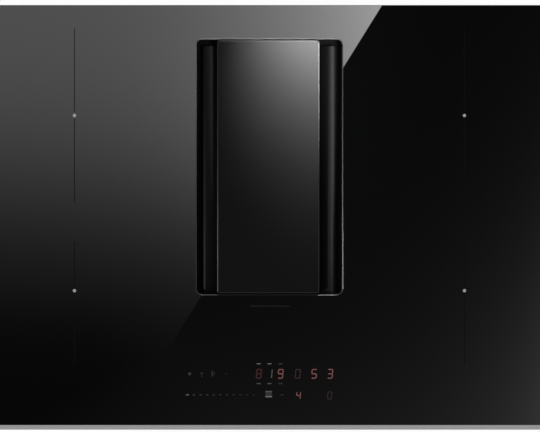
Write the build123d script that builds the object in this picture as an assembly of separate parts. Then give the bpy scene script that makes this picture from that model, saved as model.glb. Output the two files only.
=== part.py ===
from build123d import *
from math import asin, cos, degrees, radians, sin
import os

# A downdraft induction cooktop. A black ceramic glass carries four induction coils and has an
# air opening in its middle. Air goes down beside a loose cover plate, over two rolled edges,
# through a grease filter and into an air box, where a blower sends it out to a flat duct.
#
# Millimetres. +Z is up, +Y is to the rear and +X is to the right, as the cook sees it.
# The origin is under the middle of the glass, on the flat underside of the air box.

# ---- Glass and the air opening in it
glass_width = 780.0
glass_depth = 520.0
glass_thickness = 4.0
glass_corner_radius = 5.0
glass_edge_arris = 0.6
front_bevel_run = 6.0
front_bevel_drop = 2.5
opening_width = 178.0
opening_depth = 312.2
opening_rear_inset = 41.9  # from the rear edge of the glass
opening_corner_radius = 7.0
opening_arris = 1.2

# ---- Heights, from the flat base up to the glass
casing_height = 148.0
casing_seal_thickness = 2.0
tray_height = 55.0
adhesive_thickness = 1.0
seat_gap = 0.3  # under each piece that lifts out

# ---- Cover plate
cover_width = 125.0
cover_thickness = 4.0
cover_end_gap = 1.2
cover_shift_x = -1.4  # how far the loose plate lies to the left
cover_proud = 0.5
cover_corner_radius = 2.5
cover_chamfer = 1.2
cover_rib_width = 3.0
cover_rib_height = 3.0
cover_rib_spacing = 80.0
cover_rib_end_margin = 28.0
foot_radius = 4.0
foot_height = 3.0
foot_spacing_x = 90.0
foot_inset_y = 6.0

# ---- Air bowl with its rolled edges
bowl_wall = 2.5
bowl_reveal = 1.0
bowl_seal_thickness = 1.0
bowl_flange_width = 9.5
roll_inset = 11.0  # from the edge of the glass to the crest
roll_drop = 9.0  # from the top of the glass to the crest
roll_width = 17.0  # from the crest to the throat
roll_inner_radius = 28.0
roll_nose_radius = 5.0  # where the rolled edge turns down into the throat
roll_outer_radius = 6.0
roll_rear_inset = 7.4
roll_front_inset = 1.0
gutter_depth = 7.0  # below the crest
throat_rear_inset = 18.0
throat_front_inset = 11.5
bowl_reach_below_tray = 2.0
filter_lip = 6.0
post_width = 16.0
post_depth = 8.0

# ---- Grease filter
filter_gap = 1.5
filter_height = 30.0
filter_sheet = 1.2
filter_corner_radius = 3.0
filter_flange = 6.0
filter_mouth_radius = 1.0
mesh_thickness = 8.0
mesh_drop = 2.0
mesh_slot_length = 11.0
mesh_slot_width = 4.0
mesh_pitch_x = 14.0
mesh_pitch_y = 9.0
mesh_margin = 5.0
grip_width = 18.0
grip_thickness = 2.0
grip_rise = 16.0
grip_foot_length = 14.0
grip_slope_run = 14.0

# ---- Drip tray
drip_gap = 2.0
drip_height = 32.0
drip_wall = 2.0
drip_corner_radius = 8.0
drip_base_fillet = 3.0
drip_tab_width = 34.0
drip_tab_height = 26.0
drip_tab_hole_width = 20.0
drip_tab_hole_height = 10.0

# ---- Sheet steel tray under the glass
tray_inset = 20.0  # from the edge of the glass
tray_sheet = 1.0
tray_corner_radius = 6.0
tray_rim = 10.0
well_gap = 1.5
well_collar_height = 8.0
well_corner_radius = 2.0
boss_radius = 4.0
boss_height = 6.0
vent_slot_width = 4.0
vent_slot_height = 26.0
vent_slot_pitch = 9.0
vent_slot_count = 11
front_slot_length = 24.0
front_slot_height = 4.0
front_slot_pitch = 30.0
front_slot_count = 5

# ---- Seals
seal_inset = 1.5
seal_inner_radius = 0.5
worktop_seal_width = 11.0
worktop_seal_thickness = 3.0
worktop_seal_edge_gap = 2.0

# ---- Coils, with their places from the dots on the glass
zone_inward_shift = 0.9  # from midway between the opening and the side edge of the glass
coil_margin = 8.0  # inside the carrier
coil_inner_radius = 22.0
coil_thickness = 3.5
coil_groove_count = 12
coil_groove_depth = 0.8
ferrite_count = 8
ferrite_thickness = 6.0
ferrite_width = 10.0
ferrite_inner_radius = 28.0
ferrite_end_inset = 3.0
carrier_side_margin = 23.4  # from the walls of the tray
carrier_rear_margin = 11.2
carrier_front_margin = 46.4
carrier_gap = 8.4
carrier_thickness = 2.0
carrier_corner_radius = 4.0
carrier_leg_width = 15.0
carrier_leg_inset = 14.0
insulation_inset = 2.0
insulation_thickness = 3.0
insulation_corner_radius = 12.0
sensor_radius = 7.0
sensor_height = 5.0
sensor_hole_radius = 10.0
spring_radius = 4.0
spring_wire_radius = 0.5
spring_turns = 3

# ---- Power electronics
board_thickness = 1.6
board_corner_radius = 2.0
board_hole_inset = 7.0
power_board_depth = 226.0
power_board_side_gap = 9.0  # beside the legs of the carriers
power_board_rear_gap = 30.0
heat_sink_width = 48.0
heat_sink_length = 170.0
heat_sink_height = 27.0
heat_sink_base = 5.0
heat_sink_fins = 9
heat_sink_fin_thickness = 1.6
capacitor_length = 42.0
capacitor_width = 18.0
capacitor_height = 26.0
capacitor_count = 4
capacitor_pitch = 34.0
capacitor_corner_radius = 1.5
capacitor_edge_fillet = 1.2
choke_outer_radius = 17.0
choke_inner_radius = 8.0
choke_height = 15.0
choke_fillet = 3.0
filter_board_width = 150.0
filter_board_depth = 54.0
filter_board_rear_gap = 6.0
mains_choke_pitch = 46.0

# ---- Fans for the electronics
fan_size = 80.0
fan_height = 25.0
fan_rim = 2.0
fan_tip_gap = 1.4
fan_corner_radius = 4.0
fan_hole_inset = 4.25
fan_hole_radius = 2.2
fan_front_gap = 27.0
fan_hub_radius = 16.0
fan_hub_wall = 1.5
fan_blade_count = 7
fan_blade_root = 1.0
fan_blade_chord = 17.0
fan_blade_thickness = 1.4
fan_blade_pitch = 38.0
fan_plate_thickness = 2.5
fan_spoke_width = 4.0
fan_spindle_radius = 1.45
fan_running_gap = 0.05
fan_top_gap = 1.0
intake_slot_width = 4.0
intake_slot_pitch = 8.0
intake_slot_count = 9

# ---- Touch control
control_width = 224.0
control_depth = 66.0
control_front_inset = 62.0  # from the front edge of the glass to the middle of the board
control_corner_radius = 3.0
display_height = 7.6
display_width = 8.6
display_depth = 13.0
display_places = (-12.9, 13.6, 34.8, 55.3, 74.5)
display_row_inset = 68.7
display_corner_radius = 0.8
touch_spring_radius = 3.5
touch_spring_wall = 0.8
touch_row_inset = 43.0
touch_pitch = 16.4
touch_count = 12
bracket_ring_height = 6.0
bracket_ring_width = 6.0
bracket_leg_radius = 4.0
bracket_leg_inset = 1.0

# ---- Mains inlet
terminal_side_inset = 32.0  # from the walls of the tray
terminal_rear_inset = 12.0
terminal_width = 104.0
terminal_depth = 78.0
terminal_cover_depth = 32.0
terminal_cover_wall = 2.5
terminal_corner_radius = 6.0
terminal_edge_fillet = 3.0
terminal_block_length = 66.0
terminal_block_depth = 24.0
terminal_block_height = 20.0
terminal_ways = 6
terminal_way_radius = 2.6
terminal_wire_width = 4.4
terminal_wire_rise = 4.0
terminal_ear = 14.0
terminal_ear_thickness = 3.0
terminal_ear_radius = 3.0
gland_thread_radius = 9.0
gland_body_radius = 11.5
gland_bore_radius = 7.0
gland_length = 14.0
gland_nut_across = 24.0
gland_nut_thickness = 5.0
gland_fit = 0.1
gland_dome_fillet = 3.0

# ---- Air box
casing_left_margin = 51.0  # from the throat
casing_front_margin = 20.0
casing_right_inset = 8.0  # from the tray's wall to the flange
casing_rear_inset = 2.0
casing_wall = 2.5
casing_corner_radius = 12.0
casing_base_fillet = 5.0
casing_flange = 12.0
casing_flange_thickness = 3.0
casing_rib_pitch = 41.0
casing_rib_width = 2.5
casing_rib_proud = 2.0
casing_rib_bottom = 9.0
casing_rib_root = 1.0
casing_screw_edge = 0.9  # from a screw's head to the edge of the flange
fence_height = 8.0
fence_wall = 2.0
fence_gap = 1.0
fence_leg = 22.0
casing_seal_width = 6.0

# ---- Blower
blower_inset_x = 154.0  # from the right and the rear of the air box
blower_inset_y = 214.0
scroll_bottom_z = 55.0
scroll_wall = 2.5
scroll_start_radius = 100.0
scroll_end_radius = 137.0
scroll_tongue_angle = 60.0
scroll_points = 13
scroll_end_inset = 36.0
scroll_front_gap = 3.1
scroll_mouth_overlap = 1.0
scroll_mount_height = 6.0
scroll_mount_radius = 6.0
inlet_hole_radius = 83.0
inlet_flange_radius = 98.0
inlet_sheet = 2.0
inlet_throat_radius = 71.0
inlet_curve_radius = 9.0
impeller_radius = 86.0
impeller_blade_inner = 68.0
impeller_blade_count = 36
impeller_blade_thickness = 1.2
impeller_blade_sweep = 9.0
impeller_blade_bulge = 3.5
impeller_blade_inset = 0.5
impeller_blade_root = 0.5
impeller_gap_above_inlet = 2.0
impeller_shroud_thickness = 2.0
impeller_shroud_inner = 74.0
impeller_plate_thickness = 2.5
impeller_height = 68.0
impeller_sleeve_wall = 3.0
impeller_fit = 0.1

# ---- Blower motor, whose can turns round a fixed stator
can_outer_radius = 42.0
can_wall = 4.0
can_base = 3.0
can_height = 39.0
motor_top_gap = 2.5
motor_flange_radius = 47.0
motor_flange_thickness = 3.0
bearing_tube_outer = 14.0
bearing_outer_radius = 11.0
bearing_inner_radius = 4.0
bearing_width = 7.0
bearing_spacing = 20.0
bearing_inset = 2.0
bearing_groove_depth = 0.6
shaft_running_gap = 0.05
shaft_chamfer = 0.5
stator_outer_radius = 35.5
stator_height = 21.0
stator_slot_count = 12
stator_slot_width = 2.0
stator_core = 4.0
winding_outer_radius = 32.0
winding_inner_radius = 17.0
winding_proud = 3.0
motor_hole_radius = 2.1
motor_hole_circle = 39.0
motor_hole_count = 4

# ---- Outlet and its non-return flap
spigot_wall = 2.0
spigot_inner_width = 214.0
spigot_length = 17.0  # behind the air box
spigot_corner_radius = 6.0
spigot_collar_width = 3.0
spigot_collar_length = 4.0
spigot_gap = 1.0
flap_inset = 20.0  # inside the air box
flap_barrel_radius = 3.0
flap_barrel_drop = 4.0
flap_thickness = 1.6
flap_edge_gap = 1.5
flap_pin_radius = 1.5
flap_running_gap = 0.05
flap_stop_height = 5.0
flap_stop_thickness = 2.0
flap_stop_gap = 0.2

# ---- Brackets under the worktop, and the screws
worktop_thickness = 30.0
bracket_sheet = 1.5
bracket_width = 30.0
bracket_reach = 18.0
bracket_leg = 22.0
bracket_y = 150.0
bracket_hole_radius = 2.25
bracket_hole_reach = 11.0
bracket_screw_spacing = 18.0
bracket_screw_drop = 13.0
screw_head_radius = 3.6
screw_head_height = 2.4
screw_cross_width = 0.8
screw_cross_depth = 1.0
screw_shank_radius = 1.95
screw_length = 8.0
screw_hole_radius = 2.1

# ---- Levels and places that follow from the sizes above
tray_floor_z = casing_height + casing_seal_thickness
tray_inner_z = tray_floor_z + tray_sheet
tray_rim_z = tray_floor_z + tray_height
glass_bottom_z = tray_rim_z + adhesive_thickness
glass_top_z = glass_bottom_z + glass_thickness

opening_half_width = opening_width / 2
opening_rear_y = glass_depth / 2 - opening_rear_inset
opening_front_y = opening_rear_y - opening_depth
opening_centre_y = (opening_front_y + opening_rear_y) / 2

cover_top_z = glass_top_z + cover_proud
cover_bottom_z = cover_top_z - cover_thickness
cover_depth = opening_depth - 2 * cover_end_gap
post_top_z = cover_bottom_z - foot_height

gutter_x = opening_half_width + bowl_reveal
gutter_front_y = opening_front_y - bowl_reveal
gutter_rear_y = opening_rear_y + bowl_reveal
flange_top_z = glass_bottom_z - bowl_seal_thickness
crest_x = opening_half_width - roll_inset
crest_z = glass_top_z - roll_drop
gutter_floor_z = crest_z - gutter_depth
roll_front_y = opening_front_y + roll_front_inset
roll_rear_y = opening_rear_y - roll_rear_inset
throat_half_width = crest_x - roll_width
nose_x = throat_half_width + roll_nose_radius
nose_turn = degrees(asin((crest_x - nose_x) / (roll_inner_radius - roll_nose_radius)))
nose_z = crest_z - roll_inner_radius + (roll_inner_radius - roll_nose_radius) * cos(radians(nose_turn))
throat_front_y = opening_front_y + throat_front_inset
throat_rear_y = opening_rear_y - throat_rear_inset
throat_centre_y = (throat_front_y + throat_rear_y) / 2
throat_depth = throat_rear_y - throat_front_y
throat_bottom_z = tray_floor_z - bowl_reach_below_tray
lip_top_z = throat_bottom_z + bowl_wall

filter_width = 2 * (throat_half_width - filter_gap)
filter_depth = throat_depth - 2 * filter_gap
filter_bottom_z = lip_top_z + seat_gap
filter_top_z = filter_bottom_z + filter_height
mesh_top_z = filter_top_z - mesh_drop

drip_width = 2 * (throat_half_width - filter_lip - drip_gap)
drip_depth = throat_depth - 2 * (filter_lip + drip_gap)
drip_bottom_z = casing_wall + seat_gap

tray_width = glass_width - 2 * tray_inset
tray_depth = glass_depth - 2 * tray_inset
tray_inner_x = tray_width / 2 - tray_sheet
tray_inner_y = tray_depth / 2 - tray_sheet

zone_x = (opening_width + glass_width) / 4 - zone_inward_shift
carrier_width = 2 * (tray_inner_x - carrier_side_margin - zone_x)
carrier_depth = tray_inner_y - (carrier_rear_margin + carrier_front_margin + carrier_gap) / 2
zone_rear_y = tray_inner_y - carrier_rear_margin - carrier_depth / 2
zone_front_y = zone_rear_y - carrier_depth - carrier_gap
coil_outer_radius = min(carrier_width, carrier_depth) / 2 - coil_margin
ferrite_outer_radius = coil_outer_radius - ferrite_end_inset
insulation_size = min(carrier_width, carrier_depth) - 2 * insulation_inset

insulation_bottom_z = glass_bottom_z - insulation_thickness
coil_bottom_z = insulation_bottom_z - coil_thickness
ferrite_bottom_z = coil_bottom_z - ferrite_thickness
carrier_bottom_z = ferrite_bottom_z - carrier_thickness
board_bottom_z = tray_inner_z + boss_height
board_top_z = board_bottom_z + board_thickness

filter_board_centre_x = -zone_x
filter_board_centre_y = tray_inner_y - filter_board_rear_gap - filter_board_depth / 2
power_board_width = carrier_width - 2 * (carrier_thickness + power_board_side_gap)
power_board_rear_y = filter_board_centre_y - filter_board_depth / 2 - power_board_rear_gap
power_board_centre_y = power_board_rear_y - power_board_depth / 2
fan_y = -(tray_inner_y - fan_front_gap - fan_size / 2)
fan_bore_radius = fan_size / 2 - fan_rim
fan_blade_radius = fan_bore_radius - fan_tip_gap

control_centre_y = control_front_inset - glass_depth / 2
display_row_y = display_row_inset - glass_depth / 2
touch_row_y = touch_row_inset - glass_depth / 2
control_board_top_z = glass_bottom_z - display_height
control_board_bottom_z = control_board_top_z - board_thickness

terminal_left_x = terminal_side_inset - tray_width / 2
terminal_rear_y = tray_depth / 2 - terminal_rear_inset
terminal_front_y = terminal_rear_y - terminal_depth

casing_left_x = -throat_half_width - casing_left_margin
casing_right_x = tray_width / 2 - casing_right_inset - casing_flange
casing_rear_y = tray_depth / 2 - casing_rear_inset - casing_flange
blower_x = casing_right_x - blower_inset_x
blower_y = casing_rear_y - blower_inset_y
scroll_end_y = casing_rear_y - scroll_end_inset
scroll_front_share = (270 - scroll_tongue_angle) / (360 - scroll_tongue_angle)
scroll_front_radius = scroll_start_radius + scroll_front_share * (scroll_end_radius - scroll_start_radius)
scroll_front_y = blower_y - scroll_front_radius - scroll_wall
casing_front_y = min(scroll_front_y - scroll_front_gap, throat_front_y - casing_front_margin) - casing_wall

scroll_top_z = tray_floor_z - scroll_mount_height
scroll_inner_bottom_z = scroll_bottom_z + scroll_wall
scroll_inner_top_z = scroll_top_z - scroll_wall
scroll_right_x = blower_x + scroll_end_radius
inlet_top_z = scroll_bottom_z - inlet_sheet + inlet_curve_radius
impeller_bottom_z = inlet_top_z + impeller_gap_above_inlet
impeller_top_z = impeller_bottom_z + impeller_height
motor_flange_bottom_z = scroll_inner_top_z - motor_flange_thickness
can_top_z = motor_flange_bottom_z - motor_top_gap
can_bottom_z = can_top_z - can_height
bearing_top_z = motor_flange_bottom_z - bearing_inset
bearing_low_z = bearing_top_z - bearing_spacing - bearing_width

spigot_inner_right_x = scroll_right_x
spigot_inner_bottom_z = scroll_inner_bottom_z + spigot_wall
spigot_inner_top_z = scroll_inner_top_z - spigot_wall
spigot_inner_left_x = spigot_inner_right_x - spigot_inner_width
spigot_start_y = scroll_end_y + scroll_wall
spigot_end_y = casing_rear_y + spigot_length
flap_y = casing_rear_y - flap_inset
flap_axis_z = spigot_inner_top_z - flap_barrel_drop

zones = {
    "rear_left": (-zone_x, zone_rear_y),
    "rear_right": (zone_x, zone_rear_y),
    "front_left": (-zone_x, zone_front_y),
    "front_right": (zone_x, zone_front_y),
}
sides = {"left": -1, "right": 1}


# ---- Helpers


def block(x0, x1, y0, y1, z0, z1):
    """A rectangular block between two opposite corners."""
    centre = Pos((x0 + x1) / 2, (y0 + y1) / 2, (z0 + z1) / 2)
    return centre * Box(x1 - x0, y1 - y0, z1 - z0)


def plate(width, depth, radius, z0, z1, x=0.0, y=0.0):
    """A level plate with rounded corners, centred on x and y."""
    return extrude(Pos(x, y, z0) * RectangleRounded(width, depth, radius), z1 - z0)


def plate_ring(width, depth, radius, band, z0, z1, x=0.0, y=0.0):
    """A level rectangular ring whose band lies inside the given outline."""
    outer = plate(width, depth, radius, z0, z1, x, y)
    inner_radius = max(radius - band, seal_inner_radius)
    inner = plate(width - 2 * band, depth - 2 * band, inner_radius, z0, z1, x, y)
    return outer - inner


def disc(radius, z0, z1, x=0.0, y=0.0):
    """An upright cylinder."""
    return Pos(x, y, (z0 + z1) / 2) * Cylinder(radius, z1 - z0)


def ring(outer, inner, z0, z1, x=0.0, y=0.0):
    """An upright tube."""
    return disc(outer, z0, z1, x, y) - disc(inner, z0, z1, x, y)


def rod_x(radius, x0, x1, y, z):
    """A cylinder along X."""
    return Pos((x0 + x1) / 2, y, z) * Rot(0, 90, 0) * Cylinder(radius, x1 - x0)


def rod_y(radius, y0, y1, x, z):
    """A cylinder along Y."""
    return Pos(x, (y0 + y1) / 2, z) * Rot(90, 0, 0) * Cylinder(radius, y1 - y0)


def closed_face(steps):
    """A flat face round the given steps: a point is a straight run, a pair is an arc's middle and end."""
    edges = []
    here = steps[0]
    for step in steps[1:] + steps[:1]:
        if len(step) == 2:
            middle, end = step
            edges.append(ThreePointArc(here, middle, end))
            here = end
        else:
            edges.append(Line(here, step))
            here = step
    return make_face(edges)


def arc_xz(centre_x, centre_z, radius, start, end, y=0.0):
    """The middle and end of an arc in the XZ plane, with its angles in degrees."""
    points = []
    for angle in ((start + end) / 2, end):
        turn = radians(angle)
        points.append((centre_x + radius * cos(turn), y, centre_z + radius * sin(turn)))
    return tuple(points)


def along_y(face, y0, y1):
    """A face drawn in the XZ plane at y = 0, drawn out from y0 to y1."""
    return Pos(0, y0, 0) * extrude(face, y1 - y0, dir=(0, 1, 0))


def revolve_up(face, x=0.0, y=0.0):
    """A face drawn in the XZ plane, turned round an upright axis at x and y."""
    return Pos(x, y, 0) * revolve(face, Axis.Z)


def group(solids):
    """Separate solids of one kind in one node."""
    return Compound(children=[solid for shape in solids for solid in shape.solids()])


# ---- Glass, cover plate and air bowl


def ceramic_glass():
    body = plate(glass_width, glass_depth, glass_corner_radius, glass_bottom_z, glass_top_z)
    body = chamfer(body.faces().sort_by(Axis.Z)[-1].edges(), glass_edge_arris)
    body -= plate(
        opening_width,
        opening_depth,
        opening_corner_radius,
        glass_bottom_z,
        glass_top_z,
        y=opening_centre_y,
    )
    top = body.faces().sort_by(Axis.Z)[-1]
    body = chamfer(top.inner_wires()[0].edges(), opening_arris)
    front = -glass_depth / 2
    bevel = [
        (front, glass_top_z - front_bevel_drop),
        (front + front_bevel_run, glass_top_z),
        (front, glass_top_z + front_bevel_drop),
        (front - front_bevel_run, glass_top_z),
    ]
    half = glass_width / 2
    wedge = make_face(Polyline([(-half, y, z) for y, z in bevel], close=True))
    return body - extrude(wedge, glass_width, dir=(1, 0, 0))


def vent_cover():
    centre_y = opening_centre_y
    body = plate(
        cover_width,
        cover_depth,
        cover_corner_radius,
        cover_bottom_z,
        cover_top_z,
        cover_shift_x,
        centre_y,
    )
    body = chamfer(body.faces().sort_by(Axis.Z)[-1].edges(), cover_chamfer)
    half_rib = cover_depth / 2 - cover_rib_end_margin
    for side in sides.values():
        middle = cover_shift_x + side * cover_rib_spacing / 2
        body += block(
            middle - cover_rib_width / 2,
            middle + cover_rib_width / 2,
            centre_y - half_rib,
            centre_y + half_rib,
            cover_bottom_z - cover_rib_height,
            cover_bottom_z,
        )
    return body


def foot_places():
    """The middle of each foot of the cover plate."""
    reach = cover_depth / 2 - foot_inset_y
    places = []
    for side in sides.values():
        for end in (-1, 1):
            places.append((cover_shift_x + side * foot_spacing_x / 2, opening_centre_y + end * reach))
    return places


def vent_cover_feet():
    feet = []
    for x, y in foot_places():
        feet.append(disc(foot_radius, post_top_z + seat_gap, cover_bottom_z, x, y))
    return group(feet)


def roll_outline():
    """The steps over the rolled edge, from the throat wall to the outer side."""
    nose = arc_xz(nose_x, nose_z, roll_nose_radius, 180, 90 + nose_turn)
    rise = arc_xz(crest_x, crest_z - roll_inner_radius, roll_inner_radius, 90 + nose_turn, 90)
    fall = arc_xz(crest_x, crest_z - roll_outer_radius, roll_outer_radius, 90, 0)
    return [(throat_half_width, 0, nose_z), nose, rise, fall]


def bowl_side_face():
    """Section of the bowl's right side: flange, gutter, rolled edge and throat wall in one thickness."""
    fall = arc_xz(crest_x, crest_z - roll_outer_radius, roll_outer_radius, 0, 90)
    drop = arc_xz(crest_x, crest_z - roll_inner_radius, roll_inner_radius, 90, 90 + nose_turn)
    nose = arc_xz(nose_x, nose_z, roll_nose_radius, 90 + nose_turn, 180)
    inner_nose = arc_xz(nose_x, nose_z, roll_nose_radius - bowl_wall, 180, 90 + nose_turn)
    inner_rise = arc_xz(crest_x, crest_z - roll_inner_radius, roll_inner_radius - bowl_wall, 90 + nose_turn, 90)
    inner_fall = arc_xz(crest_x, crest_z - roll_outer_radius, roll_outer_radius - bowl_wall, 90, 0)
    outer_x = crest_x + roll_outer_radius
    return closed_face(
        [
            (gutter_x + bowl_flange_width, 0, flange_top_z),
            (gutter_x, 0, flange_top_z),
            (gutter_x, 0, gutter_floor_z),
            (outer_x, 0, gutter_floor_z),
            (outer_x, 0, crest_z - roll_outer_radius),
            fall,
            drop,
            nose,
            (throat_half_width, 0, throat_bottom_z),
            (throat_half_width + bowl_wall, 0, throat_bottom_z),
            (throat_half_width + bowl_wall, 0, nose_z),
            inner_nose,
            inner_rise,
            inner_fall,
            (outer_x - bowl_wall, 0, gutter_floor_z - bowl_wall),
            (gutter_x + bowl_wall, 0, gutter_floor_z - bowl_wall),
            (gutter_x + bowl_wall, 0, flange_top_z - bowl_wall),
            (gutter_x + bowl_flange_width, 0, flange_top_z - bowl_wall),
        ]
    )


def vent_bowl():
    side = along_y(bowl_side_face(), roll_front_y, roll_rear_y)
    outer_x = crest_x + roll_outer_radius
    # Past the two ends of the throat, its side walls stop at the foot of the rolled edge.
    for y0, y1 in ((roll_front_y, throat_front_y - bowl_wall), (throat_rear_y + bowl_wall, roll_rear_y)):
        side -= block(0, outer_x, y0, y1, throat_bottom_z, nose_z)
    cap = closed_face(roll_outline() + [(outer_x, 0, nose_z)])
    side += along_y(cap, roll_front_y, roll_front_y + bowl_wall)
    side += along_y(cap, roll_rear_y - bowl_wall, roll_rear_y)

    width = 2 * gutter_x
    depth = gutter_rear_y - gutter_front_y
    radius = opening_corner_radius + bowl_reveal
    centre_y = (gutter_front_y + gutter_rear_y) / 2
    flange_z = flange_top_z - bowl_wall
    rim = plate(
        width + 2 * bowl_flange_width,
        depth + 2 * bowl_flange_width,
        radius + bowl_flange_width,
        flange_z,
        flange_top_z,
        y=centre_y,
    )
    rim += plate(
        width + 2 * bowl_wall,
        depth + 2 * bowl_wall,
        radius + bowl_wall,
        gutter_floor_z - bowl_wall,
        flange_z,
        y=centre_y,
    )
    rim -= plate(width, depth, radius, gutter_floor_z, flange_top_z, y=centre_y)
    # The floor stays only where the gutter crosses the two ends.
    rim -= block(
        -gutter_x,
        gutter_x,
        roll_front_y,
        roll_rear_y,
        gutter_floor_z - bowl_wall,
        gutter_floor_z,
    )

    throat = block(
        -throat_half_width - bowl_wall,
        throat_half_width + bowl_wall,
        throat_front_y - bowl_wall,
        throat_rear_y + bowl_wall,
        throat_bottom_z,
        gutter_floor_z,
    )
    throat -= block(
        -throat_half_width,
        throat_half_width,
        throat_front_y,
        throat_rear_y,
        lip_top_z,
        gutter_floor_z,
    )
    throat -= block(
        -throat_half_width + filter_lip,
        throat_half_width - filter_lip,
        throat_front_y + filter_lip,
        throat_rear_y - filter_lip,
        throat_bottom_z,
        lip_top_z,
    )
    # Above the start of the rolled edges, only the end walls of the throat are left.
    for sign in sides.values():
        throat -= block(
            sign * (throat_half_width + bowl_wall / 2) - bowl_wall,
            sign * (throat_half_width + bowl_wall / 2) + bowl_wall,
            throat_front_y,
            throat_rear_y,
            nose_z,
            gutter_floor_z,
        )

    floors = []
    for y0, y1 in ((gutter_front_y, throat_front_y), (throat_rear_y, gutter_rear_y)):
        floors.append(
            block(-throat_half_width - bowl_wall, throat_half_width + bowl_wall, y0, y1,
                  gutter_floor_z - bowl_wall, gutter_floor_z)
        )
    posts = []
    for x, y in foot_places():
        posts.append(
            block(x - post_width / 2, x + post_width / 2, y - post_depth / 2, y + post_depth / 2,
                  gutter_floor_z - bowl_wall, post_top_z)
        )
    return side + [mirror(side, Plane.YZ), rim, throat] + floors + posts


def bowl_seal():
    width = 2 * (gutter_x + bowl_flange_width - seal_inset)
    depth = gutter_rear_y - gutter_front_y + 2 * (bowl_flange_width - seal_inset)
    radius = opening_corner_radius + bowl_reveal + bowl_flange_width - seal_inset
    centre_y = (gutter_front_y + gutter_rear_y) / 2
    band = bowl_flange_width - 2 * seal_inset
    return plate_ring(width, depth, radius, band, flange_top_z, glass_bottom_z, y=centre_y)


# ---- Grease filter and drip tray


def filter_frame():
    outer = plate(
        filter_width,
        filter_depth,
        filter_corner_radius,
        filter_bottom_z,
        filter_top_z,
        y=throat_centre_y,
    )
    hollow = plate(
        filter_width - 2 * filter_sheet,
        filter_depth - 2 * filter_sheet,
        filter_corner_radius - filter_sheet,
        filter_bottom_z + filter_sheet,
        filter_top_z,
        y=throat_centre_y,
    )
    mouth = plate(
        filter_width - 2 * filter_flange,
        filter_depth - 2 * filter_flange,
        filter_mouth_radius,
        filter_bottom_z,
        filter_bottom_z + filter_sheet,
        y=throat_centre_y,
    )
    body = outer - hollow - mouth
    # A ledge under the mesh, folded in from the sheet.
    ledge_z = mesh_top_z - mesh_thickness - filter_sheet
    inner_width = filter_width - 2 * filter_sheet
    inner_depth = filter_depth - 2 * filter_sheet
    ledge = plate(
        inner_width,
        inner_depth,
        filter_corner_radius - filter_sheet,
        ledge_z,
        ledge_z + filter_sheet,
        y=throat_centre_y,
    )
    ledge -= plate(
        inner_width - 2 * filter_flange,
        inner_depth - 2 * filter_flange,
        filter_mouth_radius,
        ledge_z,
        ledge_z + filter_sheet,
        y=throat_centre_y,
    )
    return body + ledge


def filter_mesh():
    width = filter_width - 2 * filter_sheet
    depth = filter_depth - 2 * filter_sheet
    outline = RectangleRounded(width, depth, filter_corner_radius - filter_sheet)
    columns = int((width - 2 * mesh_margin) / mesh_pitch_x)
    rows = int((depth - 2 * mesh_margin) / mesh_pitch_y)
    slots = []
    for row in range(rows):
        stagger = mesh_pitch_x / 2 * (row % 2)
        for column in range(columns - row % 2):
            x = (column - (columns - 1) / 2) * mesh_pitch_x + stagger
            y = (row - (rows - 1) / 2) * mesh_pitch_y
            slots.append(Pos(x, y) * SlotOverall(mesh_slot_length, mesh_slot_width))
    face = Pos(0, throat_centre_y, mesh_top_z - mesh_thickness) * (outline - slots)
    return extrude(face, mesh_thickness)


def filter_grip():
    """A bent strap over the middle of the filter, welded to the long sides of its frame."""
    half = filter_width / 2 - filter_sheet
    low = mesh_top_z
    high = low + grip_rise
    t = grip_thickness
    foot_x = half - grip_foot_length
    crown_x = foot_x - grip_slope_run
    outline = [
        (-half, low),
        (-half, low + t),
        (-foot_x, low + t),
        (-crown_x, high),
        (crown_x, high),
        (foot_x, low + t),
        (half, low + t),
        (half, low),
        (foot_x + t / 2, low),
        (crown_x, high - t),
        (-crown_x, high - t),
        (-foot_x - t / 2, low),
    ]
    face = closed_face([(x, 0, z) for x, z in outline])
    return along_y(face, throat_centre_y - grip_width / 2, throat_centre_y + grip_width / 2)


def drip_tray():
    top = drip_bottom_z + drip_height
    body = plate(drip_width, drip_depth, drip_corner_radius, drip_bottom_z, top, y=throat_centre_y)
    body = fillet(body.faces().sort_by(Axis.Z)[0].edges(), drip_base_fillet)
    body -= plate(
        drip_width - 2 * drip_wall,
        drip_depth - 2 * drip_wall,
        drip_corner_radius - drip_wall,
        drip_bottom_z + drip_wall,
        top,
        y=throat_centre_y,
    )
    for end in (-1, 1):
        outer = throat_centre_y + end * drip_depth / 2
        inner = outer - end * drip_wall
        low_y, high_y = min(inner, outer), max(inner, outer)
        half = drip_tab_width / 2
        tab = block(-half, half, low_y, high_y, top - drip_wall, top + drip_tab_height)
        hole_half = drip_tab_hole_width / 2
        hole_top = top + drip_tab_height - 2 * drip_wall
        tab -= block(-hole_half, hole_half, low_y, high_y, hole_top - drip_tab_hole_height, hole_top)
        body += tab
    return body


# ---- Sheet steel tray, its seals and brackets


def casing_screw_places():
    """The screws through the flange of the air box, along its left, right, front and rear sides."""
    offset = casing_flange - screw_head_radius - casing_screw_edge
    left = casing_left_x - offset
    right = casing_right_x + offset
    front = casing_front_y - offset
    rear = casing_rear_y + offset
    middle_x = (casing_left_x + casing_right_x) / 2
    middle_y = (casing_front_y + casing_rear_y) / 2
    reach_x = (casing_right_x - casing_left_x) / 2 - casing_corner_radius
    reach_y = (casing_rear_y - casing_front_y) / 2 - 2 * casing_corner_radius
    places = []
    for step in (-1, 0, 1):
        places.append((left, middle_y + step * reach_y))
        places.append((right, middle_y + step * reach_y))
        places.append((middle_x + step * reach_x, front))
        places.append((middle_x + step * reach_x, rear))
    return places


def terminal_screw_places():
    """The two screws of the terminal cover, through its ears."""
    y = (terminal_front_y + terminal_rear_y) / 2
    reach = terminal_ear / 2
    return [(terminal_left_x - reach, y), (terminal_left_x + terminal_width + reach, y)]


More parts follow.
